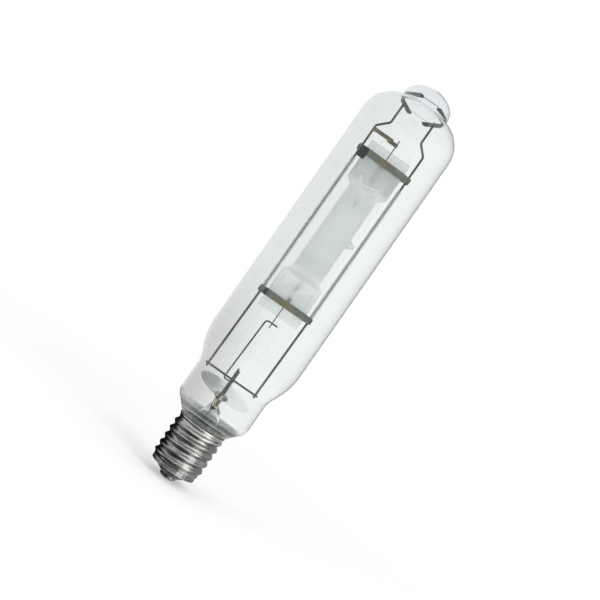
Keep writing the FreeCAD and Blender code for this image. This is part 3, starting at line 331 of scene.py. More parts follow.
def tube(name, path, radius, sides=20, tip=0.35):
    """Round wire along 3-D points, with its ends rounded over a share of the radius."""
    start, *between, end = [Vector(p) for p in path]
    first = (between[0] - start).normalized()
    last = (end - between[-1]).normalized()
    path = [start, start + first * radius * tip, *between, end - last * radius * tip, end]
    widths = [radius * (1 - tip), *[radius] * (len(path) - 2), radius * (1 - tip)]
    side = first.orthogonal().normalized()
    points = []
    for i, (centre, width) in enumerate(zip(path, widths)):
        run = heading(path, i)
        side = (side - run * side.dot(run)).normalized()
        up = run.cross(side)
        points += [centre + (side * c + up * s) * width for c, s in circle(sides)]
    return capped(name, points, sides)


def ribbon(name, path, thickness, half_widths, place, relief, columns=12):
    """Sheet strip along a flat path. place puts (point of the path, distance across) in space, and relief
    gives how far the outside stands out at (distance along, distance across)."""
    path = divided(path, 0.6)
    run = [0.0]
    for a, b in zip(path, path[1:]):
        run.append(run[-1] + (b - a).length)
    edge = thickness / 3
    points = []
    for i, centre in enumerate(path):
        ahead = heading(path, i)
        out = Vector((ahead.y, -ahead.x))
        half = half_widths(run[i], run[-1])
        spots = [-half + edge + (2 * half - 2 * edge) * k / columns for k in range(columns + 1)]
        section = [(-half, -thickness / 2 + edge), (-half, thickness / 2 - edge)]
        section += [(spot, thickness / 2) for spot in spots]
        section += [(-across, -height) for across, height in section]
        for across, height in section:
            points.append(place(centre + out * (height + relief(run[i], across)), across))
    return capped(name, points, len(section), 35)


def coil(name, centre, radius, foot, top, wire):
    """Close winding of round wire about an upright axis."""
    turns = (top - foot) / (wire * 1.04)
    steps = round(turns * 16)
    path = []
    for i in range(steps + 1):
        angle = 2 * math.pi * turns * i / steps
        height = foot + (top - foot) * i / steps
        path.append((centre + radius * math.cos(angle), radius * math.sin(angle), height))
    return tube(name, path, wire / 2, 10)


def loft(name, sections, sides, cavity):
    """Closed skin through ellipses (height, x, y, half width in x, half width in y), open at its foot to a
    cavity of the same kind."""
    def rows(stack):
        return [(x + wide * c, y + deep * s, height) for height, x, y, wide, deep in stack
                for c, s in circle(sides)]

    points = rows(sections)
    first = len(points)
    points += rows(cavity[::-1])
    faces = ring_faces(len(sections), sides, cap_end=True)
    faces += ring_faces(len(cavity), sides, first, cap_start=True)
    faces += band_faces(first + (len(cavity) - 1) * sides, 0, sides)
    return new_piece(name, points, faces, 50)


def joined(name, pieces):
    """One object from several."""
    points, faces = [], []
    for piece in pieces:
        first = len(points)
        points += [v.co / MM for v in piece.data.vertices]
        faces += [tuple(first + i for i in p.vertices) for p in piece.data.polygons]
        mesh = piece.data
        bpy.data.objects.remove(piece)
        bpy.data.meshes.remove(mesh)
    return new_piece(name, points, faces)


# Shader nodes
def node(tree, kind, inputs=None, **settings):
    """Shader node with sockets set to numbers or linked to other sockets."""
    item = tree.nodes.new("ShaderNode" + kind)
    for name, setting in settings.items():
        setattr(item, name, setting)
    for key, content in (inputs or {}).items():
        if isinstance(content, bpy.types.NodeSocket):
            tree.links.new(content, item.inputs[key])
        else:
            item.inputs[key].default_value = content
    return item


def new_material(name, fill, *row, **unlike):
    """Material whose nodes are made by a function."""
    material = bpy.data.materials.new(name)
    material.use_nodes = True
    material.node_tree.nodes.clear()
    fill(material.node_tree, *row, **unlike)
    return material


def shader(tree, kind, inputs=None, **settings):
    """First output of a new node."""
    return node(tree, kind, inputs, **settings).outputs[0]


def blended(tree, share, first, second):
    """Two surfaces mixed."""
    return shader(tree, "MixShader", {0: share, 1: first, 2: second})


def output(tree, surface, **volume):
    node(tree, "OutputMaterial", {"Surface": surface, **volume})


def math_of(tree, operation, first, second=0.0):
    return shader(tree, "Math", {0: first, 1: second}, operation=operation)


def chained(operation):
    def work(tree, *numbers):
        result = numbers[0]
        for number in numbers[1:]:
            result = math_of(tree, operation, result, number)
        return result
    return work


times = chained("MULTIPLY")
plus = chained("ADD")
minus = chained("SUBTRACT")
larger = chained("MAXIMUM")


def scaled(tree, source, low, high, to_low=0.0, to_high=1.0, **settings):
    """A number moved from one range to another and kept in it."""
    return shader(tree, "MapRange", {"Value": source, "From Min": low, "From Max": high,
                                     "To Min": to_low, "To Max": to_high}, **settings)


def falling(tree, source, low, high):
    """1 below a range of a number, 0 above it."""
    return scaled(tree, source, low, high, 1.0, 0.0)


def window(tree, source, low, high, soft):
    """1 between two values of a number, with soft ends."""
    rise = scaled(tree, source, low - soft, low + soft)
    return times(tree, rise, falling(tree, source, high - soft, high + soft))


def wander(tree, source, reach):
    """A noise turned into a number from -reach to reach."""
    return scaled(tree, source, 0.3, 0.7, -reach, reach)


def mixed(tree, share, first, second, blend="MIX"):
    """Two colours mixed."""
    return node(tree, "Mix", {0: share, 6: first, 7: second}, data_type="RGBA", blend_type=blend).outputs[2]


def position(tree, stretch=(1, 1, 1)):
    """Place on the piece in millimetres, stretched by axis."""
    coords = node(tree, "TexCoord").outputs["Object"]
    scale = tuple(1 / MM * s for s in stretch)
    return shader(tree, "VectorMath", {0: coords, 1: scale}, operation="MULTIPLY")


def axes(tree):
    """The three parts of the place on the piece."""
    parts = node(tree, "SeparateXYZ", {0: position(tree)}).outputs
    return parts["X"], parts["Y"], parts["Z"]


def noise(tree, scale, detail=3.0, roughness=0.55, distortion=0.0, stretch=(1, 1, 1)):
    """Noise on the piece, stretched by axis."""
    return node(tree, "TexNoise", {"Vector": position(tree, stretch), "Scale": scale, "Detail": detail,
                                   "Roughness": roughness, "Distortion": distortion}).outputs["Fac"]


def ramp(tree, factor, stops):
    """Colour or grey along a factor; stops are (place, value or colour)."""
    item = node(tree, "ValToRGB", {"Fac": factor})
    elements = item.color_ramp.elements
    while len(elements) < len(stops):
        elements.new(0.5)
    for element, (place, content) in zip(elements, stops):
        colour = (content,) * 3 if isinstance(content, (int, float)) else content
        element.position = place
        element.color = (*colour, 1)
    return item.outputs["Color"]


def bump(tree, height, distance):
    return shader(tree, "Bump", {"Height": height, "Distance": distance * MM, "Strength": 1.0})


def absorption(tree, colour, per_mm):
    return shader(tree, "VolumeAbsorption", {"Color": (*colour, 1), "Density": per_mm / MM})


def clear_to_lamps(tree, surface, tint=WHITE):
    """The surface, which lets lamps and soft light through to what is behind it."""
    path = node(tree, "LightPath").outputs
    through = larger(tree, path["Is Shadow Ray"], path["Is Diffuse Ray"])
    return blended(tree, through, surface, shader(tree, "BsdfTransparent", {"Color": tint}))


# Kinds of material
def glass_surface(tree, colour, absorb, per_mm, ior, roughness=0.0, haze=None):
    """Clear glass that takes a little light per millimetre of wall, with a share of white haze."""
    glass = shader(tree, "BsdfPrincipled", {"Base Color": colour, "IOR": ior, "Transmission Weight": 1.0,
                                            "Roughness": roughness})
    if haze is not None:
        glass = blended(tree, haze, glass, shader(tree, "BsdfDiffuse", {"Color": (0.86, 0.88, 0.88, 1)}))
    output(tree, clear_to_lamps(tree, glass), Volume=absorption(tree, absorb, per_mm))


def metal(tree, dark, light, roughness, stretch=(1, 1, 1), scale=0.8, grain=0.01, stain=None):
    """Metal whose colour and gloss wander, with fine grain. Its stains and painted light come from a function
    that gives (share, colour) of marks laid over it: real stains, and on some metals painted shadow and
    highlight."""
    broad = noise(tree, scale * 0.25, 4.0, stretch=stretch)
    fine = noise(tree, scale * 4, stretch=stretch)
    colour = ramp(tree, broad, [(0.35, shade(*dark)), (0.65, shade(*light))])
    for share, mark in stain(tree) if stain else ():
        colour = mixed(tree, share, colour, (*mark, 1))
    gloss = ramp(tree, fine, [(0.3, roughness[0]), (0.7, roughness[1])])
    output(tree, shader(tree, "BsdfPrincipled", {
        "Base Color": colour, "Metallic": 1.0, "Roughness": gloss, "Normal": bump(tree, fine, grain)}))


def dull_body(tree, dark, light, roughness, scale, grain, ior):
    """Rough body colour, such as cement or ceramic."""
    colour = ramp(tree, noise(tree, scale, 5.0), [(0.3, shade(*dark)), (0.7, shade(*light))])
    output(tree, shader(tree, "BsdfPrincipled", {
        "Base Color": colour, "Roughness": roughness, "IOR": ior,
        "Normal": bump(tree, noise(tree, scale * 6), grain)}))


# Tints of the glasses, dark to light or along a height
# The bulb's side tints and its low-left grey are painted shade; the crown tint greys the top.
PAINTED_SIDE_SHADE_TINTS = [(0.0, (0.895, 0.91, 0.905)), (0.45, (0.95, 0.965, 0.963)), (0.9, (0.99, 1.0, 0.997))]
PAINTED_LOW_LEFT_SHADE = (0.72, 0.715, 0.705, 1)
CROWN_TINT = (0.91, 0.935, 0.945, 1)
DARK_BAND_TINTS = [(0.0, (0.45, 0.46, 0.41)), (0.46, (0.42, 0.43, 0.38)), (0.52, (0.22, 0.23, 0.21)),
               (0.76, (0.22, 0.23, 0.21)), (0.83, 0.65), (0.91, 1.0)]
SEAL_TINTS = [(0.0, 1.0), (0.35, (0.86, 0.84, 0.78)), (0.48, (0.62, 0.52, 0.34)), (0.72, (0.60, 0.50, 0.33)),
              (0.80, (0.62, 0.63, 0.62)), (1.0, (0.55, 0.57, 0.57))]
STEM_TINTS = [(0.3, (0.86, 0.88, 0.87)), (0.7, 0.99)]
DARK_BAND_SPAN = (44, 60)
SEAL_SPAN = (58, 74)
CROWN_SPAN = (316, 324)
UPPER_PAINTED_GLINT = (54.9, 55.2, 0.15)
LOWER_PAINTED_GLINT = (53.3, 53.9, 0.2)


def bulb_glass(tree):
    """Blown glass with painted shade that greys it on the left, most of all low on the left, a greyer tint
    towards the crown, a darker band above the cap, and painted highlight lines over that band.
    """
    x, y, z = axes(tree)
    clouds = noise(tree, 0.03, stretch=(1, 1, 0.5))
    # Painted shade: grey on the left to clear on the right, greyer still low on the left, then greyer towards
    # the crown.
    painted_shade_tint = ramp(tree, plus(tree, scaled(tree, x, -36, 36), wander(tree, clouds, 0.16)), PAINTED_SIDE_SHADE_TINTS)
    painted_low_left_shade = times(tree, falling(tree, z, 55, 170), falling(tree, x, -30, 2))
    painted_shade_tint = mixed(tree, painted_low_left_shade, painted_shade_tint, PAINTED_LOW_LEFT_SHADE)
    painted_shade_tint = mixed(tree, scaled(tree, z, *CROWN_SPAN, 0.0, 0.7), painted_shade_tint, CROWN_TINT)

    # The darker band and the painted highlight lines over it lie lower at the back of the bulb
    ripple = noise(tree, 0.35, stretch=(1, 1, 0.2))
    height = plus(tree, z, wander(tree, ripple, 0.15), scaled(tree, y, -28, 28, 0.0, 3.7))
    # A darker band above the cap, fainter on the left.
    dark_band = ramp(tree, scaled(tree, height, *DARK_BAND_SPAN), DARK_BAND_TINTS)
    fade = times(tree, scaled(tree, x, -17, -8, 0.5, 1.0),
                 scaled(tree, noise(tree, 0.6, 4.0), 0.35, 0.65, 0.88, 1.0))
    colour = mixed(tree, fade, painted_shade_tint, dark_band, "MULTIPLY")

    # Painted highlight: two pale lines across the band, broken by noise, with pale mottling below them.
    broken = scaled(tree, noise(tree, 0.5), 0.35, 0.5, 0.4, 1.0)
    level = plus(tree, z, scaled(tree, y, -24, 24, 0.0, 6.6))
    painted_glints = plus(tree, window(tree, level, *LOWER_PAINTED_GLINT), times(tree, window(tree, level, *UPPER_PAINTED_GLINT), 0.5))
    painted_glints = times(tree, painted_glints, broken, 0.75)
    mottle = scaled(tree, noise(tree, 0.45, 5.0), 0.35, 0.65, 0.04, 0.20)
    painted_glints_and_mottle = larger(tree, painted_glints, times(tree, mottle, falling(tree, height, 50, 52)))
    glass_surface(tree, colour, (0.45, 0.55, 0.52), per_mm=0.05, ior=1.5, haze=painted_glints_and_mottle)


def stem_glass(tree):
    """Lead glass, amber where the seal wires pass through and greyer in the head, both fainter on the left.
    """
    x, _, z = axes(tree)
    clear = ramp(tree, noise(tree, 0.7, stretch=(1, 1, 0.25)), STEM_TINTS)
    seal = ramp(tree, scaled(tree, z, *SEAL_SPAN), SEAL_TINTS)
    colour = mixed(tree, scaled(tree, x, -6.5, 0.5, 0.15, 1.0), clear, seal, "MULTIPLY")
    glass_surface(tree, colour, (0.45, 0.55, 0.45), per_mm=0.03, ior=1.54)


def sleeve_quartz(tree):
    """Clear quartz with faint streaks along it."""
    streaks = noise(tree, 0.8, stretch=(1, 1, 0.08))
    colour = ramp(tree, streaks, [(0.3, 0.92), (0.7, 0.99)])
    glass_surface(tree, colour, (0.5, 0.55, 0.55), per_mm=0.02, ior=1.35, roughness=0.08, haze=0.16)


# The arc tube's quartz: haze and roughness by distance from its middle, and its white tones
HAZE_REACH = 75
HAZE_ENDS = [(0.0, 0.36), (0.24, 0.4), (0.33, 0.7), (0.48, 0.9), (0.60, 0.95), (0.78, 0.9), (0.86, 0.26),
             (1.0, 0.12)]
QUARTZ_TINTS = [(0.0, (0.985, 0.995, 0.99)), (1.0, (0.90, 0.92, 0.915))]
QUARTZ_ROUGHNESS = [(0.0, 0.30), (0.6, 0.38), (0.85, 0.35), (1.0, 0.08)]
DIM_TONES = [(0.36, (0.62, 0.66, 0.65)), (0.62, (0.73, 0.78, 0.77))]
MILKY_TONES = [(0.40, (0.70, 0.73, 0.73)), (0.56, (0.95, 0.97, 0.97))]
UPPER_END_PAINTED_SHADOW = (0.47, 0.50, 0.50, 1)
SEEN_THROUGH_TONE = (0.92, 0.945, 0.94, 1)
FOLD_SLOPE = 0.57
FOLD_HEIGHT = 164.8


def pinch_folds(tree, from_axis, z, away, drift):
    """Bright folds of the pressed quartz: bowed over each shoulder, and slanting in the lower pinch."""
    off_side = plus(tree, from_axis, times(tree, drift, 1.2))
    bow = times(tree, off_side, off_side, 0.04)
    rise = plus(tree, minus(tree, away, bow, 41.5), drift)
    second = times(tree, window(tree, rise, 5.0, 5.8, 1.4), 0.6)
    bowed = plus(tree, window(tree, rise, -0.5, 0.7, 0.7), second)
    bowed = times(tree, bowed, window(tree, from_axis, -10.0, 9.0, 4.0))
    slant = minus(tree, z, plus(tree, times(tree, from_axis, FOLD_SLOPE), FOLD_HEIGHT))
    slant = plus(tree, slant, times(tree, drift, 0.5))
    slanting = times(tree, window(tree, slant, -1.0, 1.2, 0.9), window(tree, from_axis, 0.5, 14.0, 1.5),
                     falling(tree, z, 174, 176))
    return larger(tree, bowed, slanting)


def arc_quartz(tree):
    """Quartz, hazy over the round body, milky where it is pressed, clearer at the ends of the pinches, with a
    painted shadow over the upper shoulder and a painted white band on the lower shoulder.
    """
    x, y, z = axes(tree)
    away = math_of(tree, "ABSOLUTE", minus(tree, z, (ARC_FOOT + ARC_TOP) / 2))
    from_axis = minus(tree, x, FRAME_X)
    radius = math_of(tree, "SQRT", plus(tree, times(tree, from_axis, from_axis), times(tree, y, y)))
    bore = times(tree, falling(tree, radius, 10.9, 11.1), falling(tree, away, 39.6, 39.8))
    swirl = noise(tree, 0.10, 5.0, 0.6, 1.6, (1, 1, 0.7))
    drift = wander(tree, noise(tree, 0.09), 3.0)

    folds = times(tree, pinch_folds(tree, from_axis, z, away, drift), falling(tree, bore, 0, 1))
    # Painted light: a white band over the lower shoulder, brighter than the lamps light it.
    painted_bright_shoulder = times(tree, window(tree, z, 172, 182, 1.5), 0.95)
    brown_mark = times(tree, window(tree, from_axis, -1.2, 2.2, 0.4), window(tree, z, 155, 159.6, 0.6))

    haze = times(tree, ramp(tree, scaled(tree, away, 0, HAZE_REACH), HAZE_ENDS),
                 scaled(tree, swirl, 0.34, 0.60, 0.6, 1.45), scaled(tree, bore, 0, 1, 1.0, 0.5))
    haze = larger(tree, haze, larger(tree, times(tree, folds, 0.95), painted_bright_shoulder))
    haze = larger(tree, haze, brown_mark)

    dim = ramp(tree, swirl, DIM_TONES)
    tone = mixed(tree, scaled(tree, away, 28, 40), dim, ramp(tree, swirl, MILKY_TONES))
    tone = mixed(tree, scaled(tree, away, 44, 52, 0.0, 0.8), tone, dim)
    # Painted shadow: grey over the upper shoulder, below the upper strap.
    tone = mixed(tree, scaled(tree, z, 254, 262, 0.0, 0.85), tone, UPPER_END_PAINTED_SHADOW)
    tone = mixed(tree, larger(tree, folds, painted_bright_shoulder), tone, WHITE)
    tone = mixed(tree, brown_mark, tone, (*shade(128, 108, 88), 1))
    through_tone = mixed(tree, scaled(tree, z, 248, 258, 0.0, 0.5), SEEN_THROUGH_TONE, tone)

    clear = shader(tree, "BsdfPrincipled", {
        "Base Color": ramp(tree, scaled(tree, away, 40, 64), QUARTZ_TINTS), "IOR": 1.36,
        "Transmission Weight": 1.0, "Roughness": ramp(tree, scaled(tree, away, 30, 66), QUARTZ_ROUGHNESS)})
    frost = blended(tree, 0.5, shader(tree, "BsdfDiffuse", {"Color": tone}),
                    shader(tree, "BsdfTranslucent", {"Color": through_tone}))
    surface = clear_to_lamps(tree, blended(tree, haze, clear, frost), (0.94, 0.95, 0.95, 1))
    output(tree, surface, Volume=absorption(tree, (0.5, 0.6, 0.58), 0.008))


def mica(tree):
    """Thin clear plate in layers, with a painted dark reflection that greys it on the left."""
    layers = noise(tree, 0.08, 4.0, distortion=0.5, stretch=(1, 1, 0.1))
    side = plus(tree, scaled(tree, axes(tree)[X], -24, 21), wander(tree, layers, 0.12))
    # Painted reflection: a dark grey sheen over the left of the plate, fading to clear on the right.
    painted_reflection_share = ramp(tree, side, [(0.0, 0.55), (0.26, 0.46), (0.40, 0.2), (0.5, 0.12), (0.8, 0.02), (1.0, 0.03)])
    open_air = shader(tree, "BsdfTransparent", {"Color": (0.95, 0.96, 0.96, 1)})
    painted_dark_reflection = shader(tree, "BsdfPrincipled", {
        "Base Color": ramp(tree, layers, [(0.3, shade(120, 122, 120)), (0.7, shade(150, 152, 150))]),
        "Roughness": 0.2, "IOR": 1.5})
    output(tree, blended(tree, painted_reflection_share, open_air, painted_dark_reflection))


# Marks on metals, some of them painted light
def shell_streaks_and_painted_collar(tree):
    """Fine dark streaks round the shell, fainter on the collar, which a painted highlight lightens."""
    fine = noise(tree, 1.0, 4.0, 0.6, stretch=(0.10, 0.10, 2.4))
    painted_bright_collar = window(tree, axes(tree)[Z], 41.4, 50.0, 1.0)
    # Painted highlight: a paler colour on the collar, which otherwise mirrors the dark shell.
    yield times(tree, painted_bright_collar, 0.75), shade(230, 230, 228)
    streaks = scaled(tree, fine, 0.46, 0.64, 0.0, 0.85)
    yield times(tree, streaks, scaled(tree, painted_bright_collar, 0, 1, 1.0, 0.4)), shade(60, 60, 59)


def spring_tips(tree):
    """Darker tips on the crown springs."""
    from_middle = math_of(tree, "ABSOLUTE", minus(tree, axes(tree)[X], 1.0))
    yield scaled(tree, from_middle, 7.6, 9.4, 0.85, 0.0), shade(34, 36, 36)


def strap_stains_and_painted_shadow(tree):
    """Straw-brown heat tint in the middle, a painted shadow in the step of the lower strap beside the left
    rod, dark ends.
    """
    x, _, z = axes(tree)
    broken = scaled(tree, noise(tree, 0.7, 4.0), 0.35, 0.6)
    middle = times(tree, window(tree, x, -6.0, 4.0, 3.0), scaled(tree, broken, 0, 1, 0.35, 0.9))
    yield middle, shade(138, 126, 92)
    # Painted shadow: near black in the step where the lower strap bends in beside the left rod.
    painted_step_shadow = times(tree, window(tree, x, -20.4, -17.2, 0.4), falling(tree, z, 200, 201))
    yield times(tree, painted_step_shadow, scaled(tree, broken, 0, 1, 0.9, 1.0)), shade(8, 8, 7)
    ends = plus(tree, falling(tree, x, -24.4, -21.6), scaled(tree, x, 19.6, 22.1))
    yield times(tree, ends, 0.6), shade(70, 72, 66)


# Metals: two screen colours from dark to light, lowest and highest roughness, and what is unlike other metals
METALS = {
    "nickel_shell": ((160, 160, 158), (196, 196, 194), (0.12, 0.24),
                     {"stretch": (1, 1, 3), "scale": 0.5, "grain": 0.004, "stain": shell_streaks_and_painted_collar}),
    "contact_metal": ((104, 104, 100), (176, 176, 170), (0.12, 0.3), {}),
    "solder": ((150, 150, 150), (186, 186, 184), (0.25, 0.45), {"grain": 0.03}),
    "lead_wire": ((66, 67, 66), (104, 105, 104), (0.3, 0.5), {}),
    "seal_wire": ((124, 84, 52), (160, 116, 70), (0.4, 0.6), {}),
    "frame_metal": ((66, 67, 66), (104, 105, 104), (0.3, 0.5), {"stretch": (1, 1, 0.4), "scale": 1.4}),
    "strap_metal": ((110, 113, 104), (134, 137, 126), (0.45, 0.6),
                    {"stretch": (0.4, 1, 2), "scale": 0.6, "stain": strap_stains_and_painted_shadow}),
    "ribbon_metal": ((94, 90, 74), (132, 125, 101), (0.4, 0.6), {}),
    "spring_metal": ((86, 88, 88), (126, 128, 128), (0.25, 0.45), {"stain": spring_tips}),
    "tungsten": ((110, 110, 108), (140, 140, 138), (0.35, 0.55), {}),
    "molybdenum": ((72, 68, 60), (100, 94, 82), (0.3, 0.5), {}),
}
# Dull bodies: two screen colours, roughness, scale and grain of the pattern, index of refraction
DULL_BODIES = {
    "cap_glass": ((30, 31, 30), (64, 64, 62), 0.28, 0.5, 0.01, 1.5),
    "cement": ((120, 119, 104), (150, 148, 134), 0.9, 1.0, 0.1, 1.5),
    "getter_metal": ((8, 9, 7), (34, 36, 30), 0.9, 0.6, 0.05, 1.05),
}


GLASSES = {"clear_glass": bulb_glass, "lead_glass": stem_glass, "quartz_tube": sleeve_quartz,
           "arc_quartz": arc_quartz, "mica": mica}


def make_materials():
    made = {name: new_material(name, fill) for name, fill in GLASSES.items()}
    for name, (*row, unlike) in METALS.items():
        made[name] = new_material(name, metal, *row, **unlike)
    for name, row in DULL_BODIES.items():
        made[name] = new_material(name, dull_body, *row)
    return made


# Pieces
def bulb_profile():
    """Outer surface of the bulb from the throat's end to the crown's top."""
    low, high = span("outer_bulb")
    radius, foot, top = high.x, low.z, high.z
    dome = Vector((0, top - CROWN_DOME))
    corner_x = CROWN_SIDE - CROWN_CORNER
    corner = Vector((corner_x, dome.y + math.sqrt((CROWN_DOME - CROWN_CORNER) ** 2 - corner_x ** 2)))
    waist = Vector((CROWN_SIDE + WAIST_FILLET, corner.y - WAIST_DROP))
    centre_x = radius - SHOULDER
    reach = SHOULDER + WAIST_FILLET
    centre = Vector((centre_x, waist.y - math.sqrt(reach ** 2 - (waist.x - centre_x) ** 2)))
    rise = math.degrees(math.atan2(waist.y - centre.y, waist.x - centre.x))
    lean = math.degrees(math.atan2(corner.y - dome.y, corner.x - dome.x))
    path = rounded([
        (THROAT_RADIUS, foot), (THROAT_RADIUS, CONE_FOOT, THROAT_BEND), (NECK_RADIUS, NECK_FOOT, NECK_BEND),
        (NECK_RADIUS, TAPER_FOOT, TAPER_FOOT_BEND), (radius, TAPER_TOP, TAPER_TOP_BEND),
        (radius, centre.y)], step=3.0)
    path += arc_points(centre, SHOULDER, 0, rise, 30)[1:]
    path += arc_points(waist, WAIST_FILLET, rise + 180, 180 + 360 * (rise > 180), 10)[1:]
    path += arc_points(corner, CROWN_CORNER, 0, lean, 16)
    path += arc_points(dome, CROWN_DOME, lean, 90, 14)[1:]
    return divided(path, 12.0)


def make_bulb():
    outside = bulb_profile()
    outside[-1].x = 0
    inside = offset_left(outside, GLASS_WALL)
    inside[-1] = Vector((0, outside[-1].y - GLASS_WALL))
    inside[0].y = outside[0].y
    return lathe("bulb_glass", outside + inside[::-1], BULB_SEGMENTS, closed=True, sharp=60)


def thread_rise(angle, height):
    """How far the rolled thread stands out of the shell's root, from 0 to its depth."""
    phase = (height - THREAD_START) / THREAD_PITCH - angle / (2 * math.pi)
    lobe = 0.5 + 0.5 * math.cos(2 * math.pi * phase)
    grow = (height - THREAD_FOOT) / THREAD_RUNOUT
    fade = (THREAD_TOP - height) / THREAD_RUNOUT
    return THREAD_DEPTH * lobe * smooth(max(0.0, min(1.0, grow, fade)))


def make_shell():
    low, high = span("screw_shell")
    outside = divided(rounded([
        (SHELL_FOOT, low.z), (*SHELL_SHOULDER, 1.4), (THREAD_ROOT, SHELL_SHOULDER[1] + THREAD_RUNOUT, 1.0),
        (THREAD_ROOT, RIM_FLARE[0], 1.2), (RIM_RADIUS, RIM_FLARE[1], 0.8), (RIM_RADIUS, high.z)],
        step=12.0), 0.3)
    points = []
    for sheet, rows in ((0.0, outside), (SHELL_SHEET, outside[::-1])):
        for radius, height in rows:
            for k in range(SHELL_SEGMENTS):
                angle = 2 * math.pi * k / SHELL_SEGMENTS
                r = max(radius, THREAD_ROOT + thread_rise(angle, height)) - sheet
                points.append((r * math.cos(angle), r * math.sin(angle), height))
    return new_piece("shell_rolled", points, ring_faces(2 * len(outside), SHELL_SEGMENTS, closed=True), 50)


def make_insulator():
    low, high = span("cap_insulator")
    path = rounded([
        (INSULATOR_BORE, low.z), (INSULATOR_FOOT, low.z, 0.5),
        (INSULATOR_BAND[0], low.z + INSULATOR_BAND[1], 0.8), (INSULATOR_LEDGE[0], low.z + INSULATOR_LEDGE[1]),
        (INSULATOR_SEAT, high.z - 1.0, 0.5), (INSULATOR_SEAT, high.z), (INSULATOR_BORE, high.z)], step=8.0)
    return lathe("insulator_moulded", path, 128, closed=True)


def make_contact():
    low, high = span("centre_contact")
    radius, head = high.x, low.z + CONTACT_HEAD
    path = rounded([
        (CONTACT_BORE, low.z), (radius - CONTACT_EDGE, low.z, 1.2), (radius, low.z + CONTACT_EDGE, 0.6),
        (radius, head, 0.3), (CONTACT_STUD, head), (CONTACT_STUD, high.z), (CONTACT_BORE, high.z)], step=8.0)
    return lathe("contact_turned", path, 96, closed=True)


def eased(keys, steps):
    """Sections between key sections, with smooth changes."""
    result = [keys[0]]
    for a, b in zip(keys, keys[1:]):
        for i in range(1, steps + 1):
            t = i / steps
            height = a[0] + (b[0] - a[0]) * t
            result.append((height, *(p + (q - p) * smooth(t) for p, q in zip(a[1:], b[1:]))))
    return result


def make_stem():
    low, high = span("glass_stem")
    skirt = divided(rounded([(STEM_FLARE[0], low.z), STEM_FLARE, STEM_NECK], step=6.0), 2.0)
    flare = [(p.y, 0, 0, p.x, p.x) for p in skirt]
    press = [(height, *STEM_SHIFT, wide, deep) for height, wide, deep in STEM_PRESS]
    press = eased([flare[-1], *press, (high.z, *STEM_SHIFT, *STEM_HEAD)], 6)
    hollow = [(p.y, 0, 0, p.x, p.x) for p in offset_left(skirt, STEM_WALL)]
    hollow[0] = (low.z, *hollow[0][1:])
    return loft("stem_pressed", flare[:-1] + press, 72, hollow)


def pinch_depth(x):
    """Half thickness of a pinch at a distance from its middle."""
    bead = PINCH_BEAD / 2
    beside = abs(x) - (PINCH_HALF - bead)
    edge = math.sqrt(max(0.0, bead ** 2 - beside ** 2)) if abs(beside) < bead else 0.0
    return edge if beside > 0 else max(edge, PINCH_WEB / 2)


def arc_section(angle, flat):
    """Point of the arc tube's outline, from round (flat 0) to pinched (flat 1)."""
    c, s = math.cos(angle), math.sin(angle)
    x = math.copysign(abs(c) ** 0.8, c) * PINCH_HALF
    pressed = Vector((x, math.copysign(pinch_depth(x), s) if abs(s) > NEARLY_ZERO else 0.0))
    return Vector((ARC_RADIUS * c, ARC_RADIUS * s)).lerp(pressed, flat)


def arc_half(end, pinched, whole):
    """Heights and flatness of the arc tube from one end to where its body is whole."""
    half = [(end + (pinched - end) * i / PINCH_ROWS, 1.0) for i in range(PINCH_ROWS + 1)]
    for i in range(1, SHOULDER_ROWS + 1):
        half.append((pinched + (whole - pinched) * i / SHOULDER_ROWS, 1 - smooth(i / SHOULDER_ROWS)))
    return half


def make_arc_tube():
    low, high = span("arc_tube")
    sides = 112
    sections = arc_half(low.z, ARC_FOOT - ARC_SHOULDER, ARC_FOOT)
    sections += arc_half(high.z, ARC_TOP + ARC_SHOULDER, ARC_TOP)[::-1]
    points = []
    for z, flat in sections:
        outline = [arc_section(2 * math.pi * k / sides, flat) for k in range(sides)]
        points += [(FRAME_X + p.x, p.y, z) for p in outline]
    skin = capped("arc_skin", points, sides)

    bore = ARC_RADIUS - ARC_WALL
    foot, top = ARC_FOOT - CHAMBER_REACH, ARC_TOP + CHAMBER_REACH
    chamber = rounded([
        (0, foot), (bore, foot, CHAMBER_CORNER), (bore, top, CHAMBER_CORNER), (0, top)], step=9.0)
    hollow = lathe("arc_chamber", divided(chamber, 6.0)[::-1], 72)
    hollow.data.transform(Matrix.Translation((FRAME_X * MM, 0, 0)))

    tip = lathe("filling_tip", rounded(TIP_OUTLINE, step=12.0)[::-1], 40)
    spot = ((FRAME_X + ARC_RADIUS - TIP_INSET) * MM, 0, TIP_HEIGHT * MM)
    tip.data.transform(Matrix.Translation(spot) @ Matrix.Rotation(math.pi / 2, 4, "Y"))
    return joined("arc_tube_quartz", [skin, hollow, tip])


def make_rod(side, sign):
    low, high = span(f"frame_rod_{side}")
    upright = FRAME_X + sign * ROD_SPACING / 2
    neck = NECK_MIDDLE + sign * NECK_HALF
    path = rounded([(upright - ROD_LEAN, low.z), (upright, KINK_HEIGHT, KINK_BEND),
                    (upright, ROD_SHOULDER, ROD_BEND), (neck, ROD_NECK, ROD_BEND), (neck, high.z)])
    return tube(f"rod_{side}", in_front_plane(path), ROD_RADIUS, 24)


def make_riser():
    low, high = span("riser_wire")
    path = in_front_plane(rounded(RISER_ROUTE, step=8.0), (low.y + high.y) / 2)
    return tube("riser", path, RISER_RADIUS)


def straight_wire(name, node_name, radius, axis=Z):
    """Round wire along the middle of a node's box."""
    low, high = span(node_name)
    first, last = (low + high) / 2, (low + high) / 2
    first[axis], last[axis] = low[axis], high[axis]
    steps = 12
    return tube(name, [first.lerp(last, i / steps) for i in range(steps + 1)], radius)


def weld_mark(away, radius, depth):
    """Depth of a weld mark at a distance from its middle."""
    return depth * max(0.0, 1 - (away / radius) ** 2)


def narrowing(run, whole, reach, cut):
    """How much narrower a ribbon is near its two ends."""
    return cut * max(0.0, 1 - min(run, whole - run) / reach) ** 2


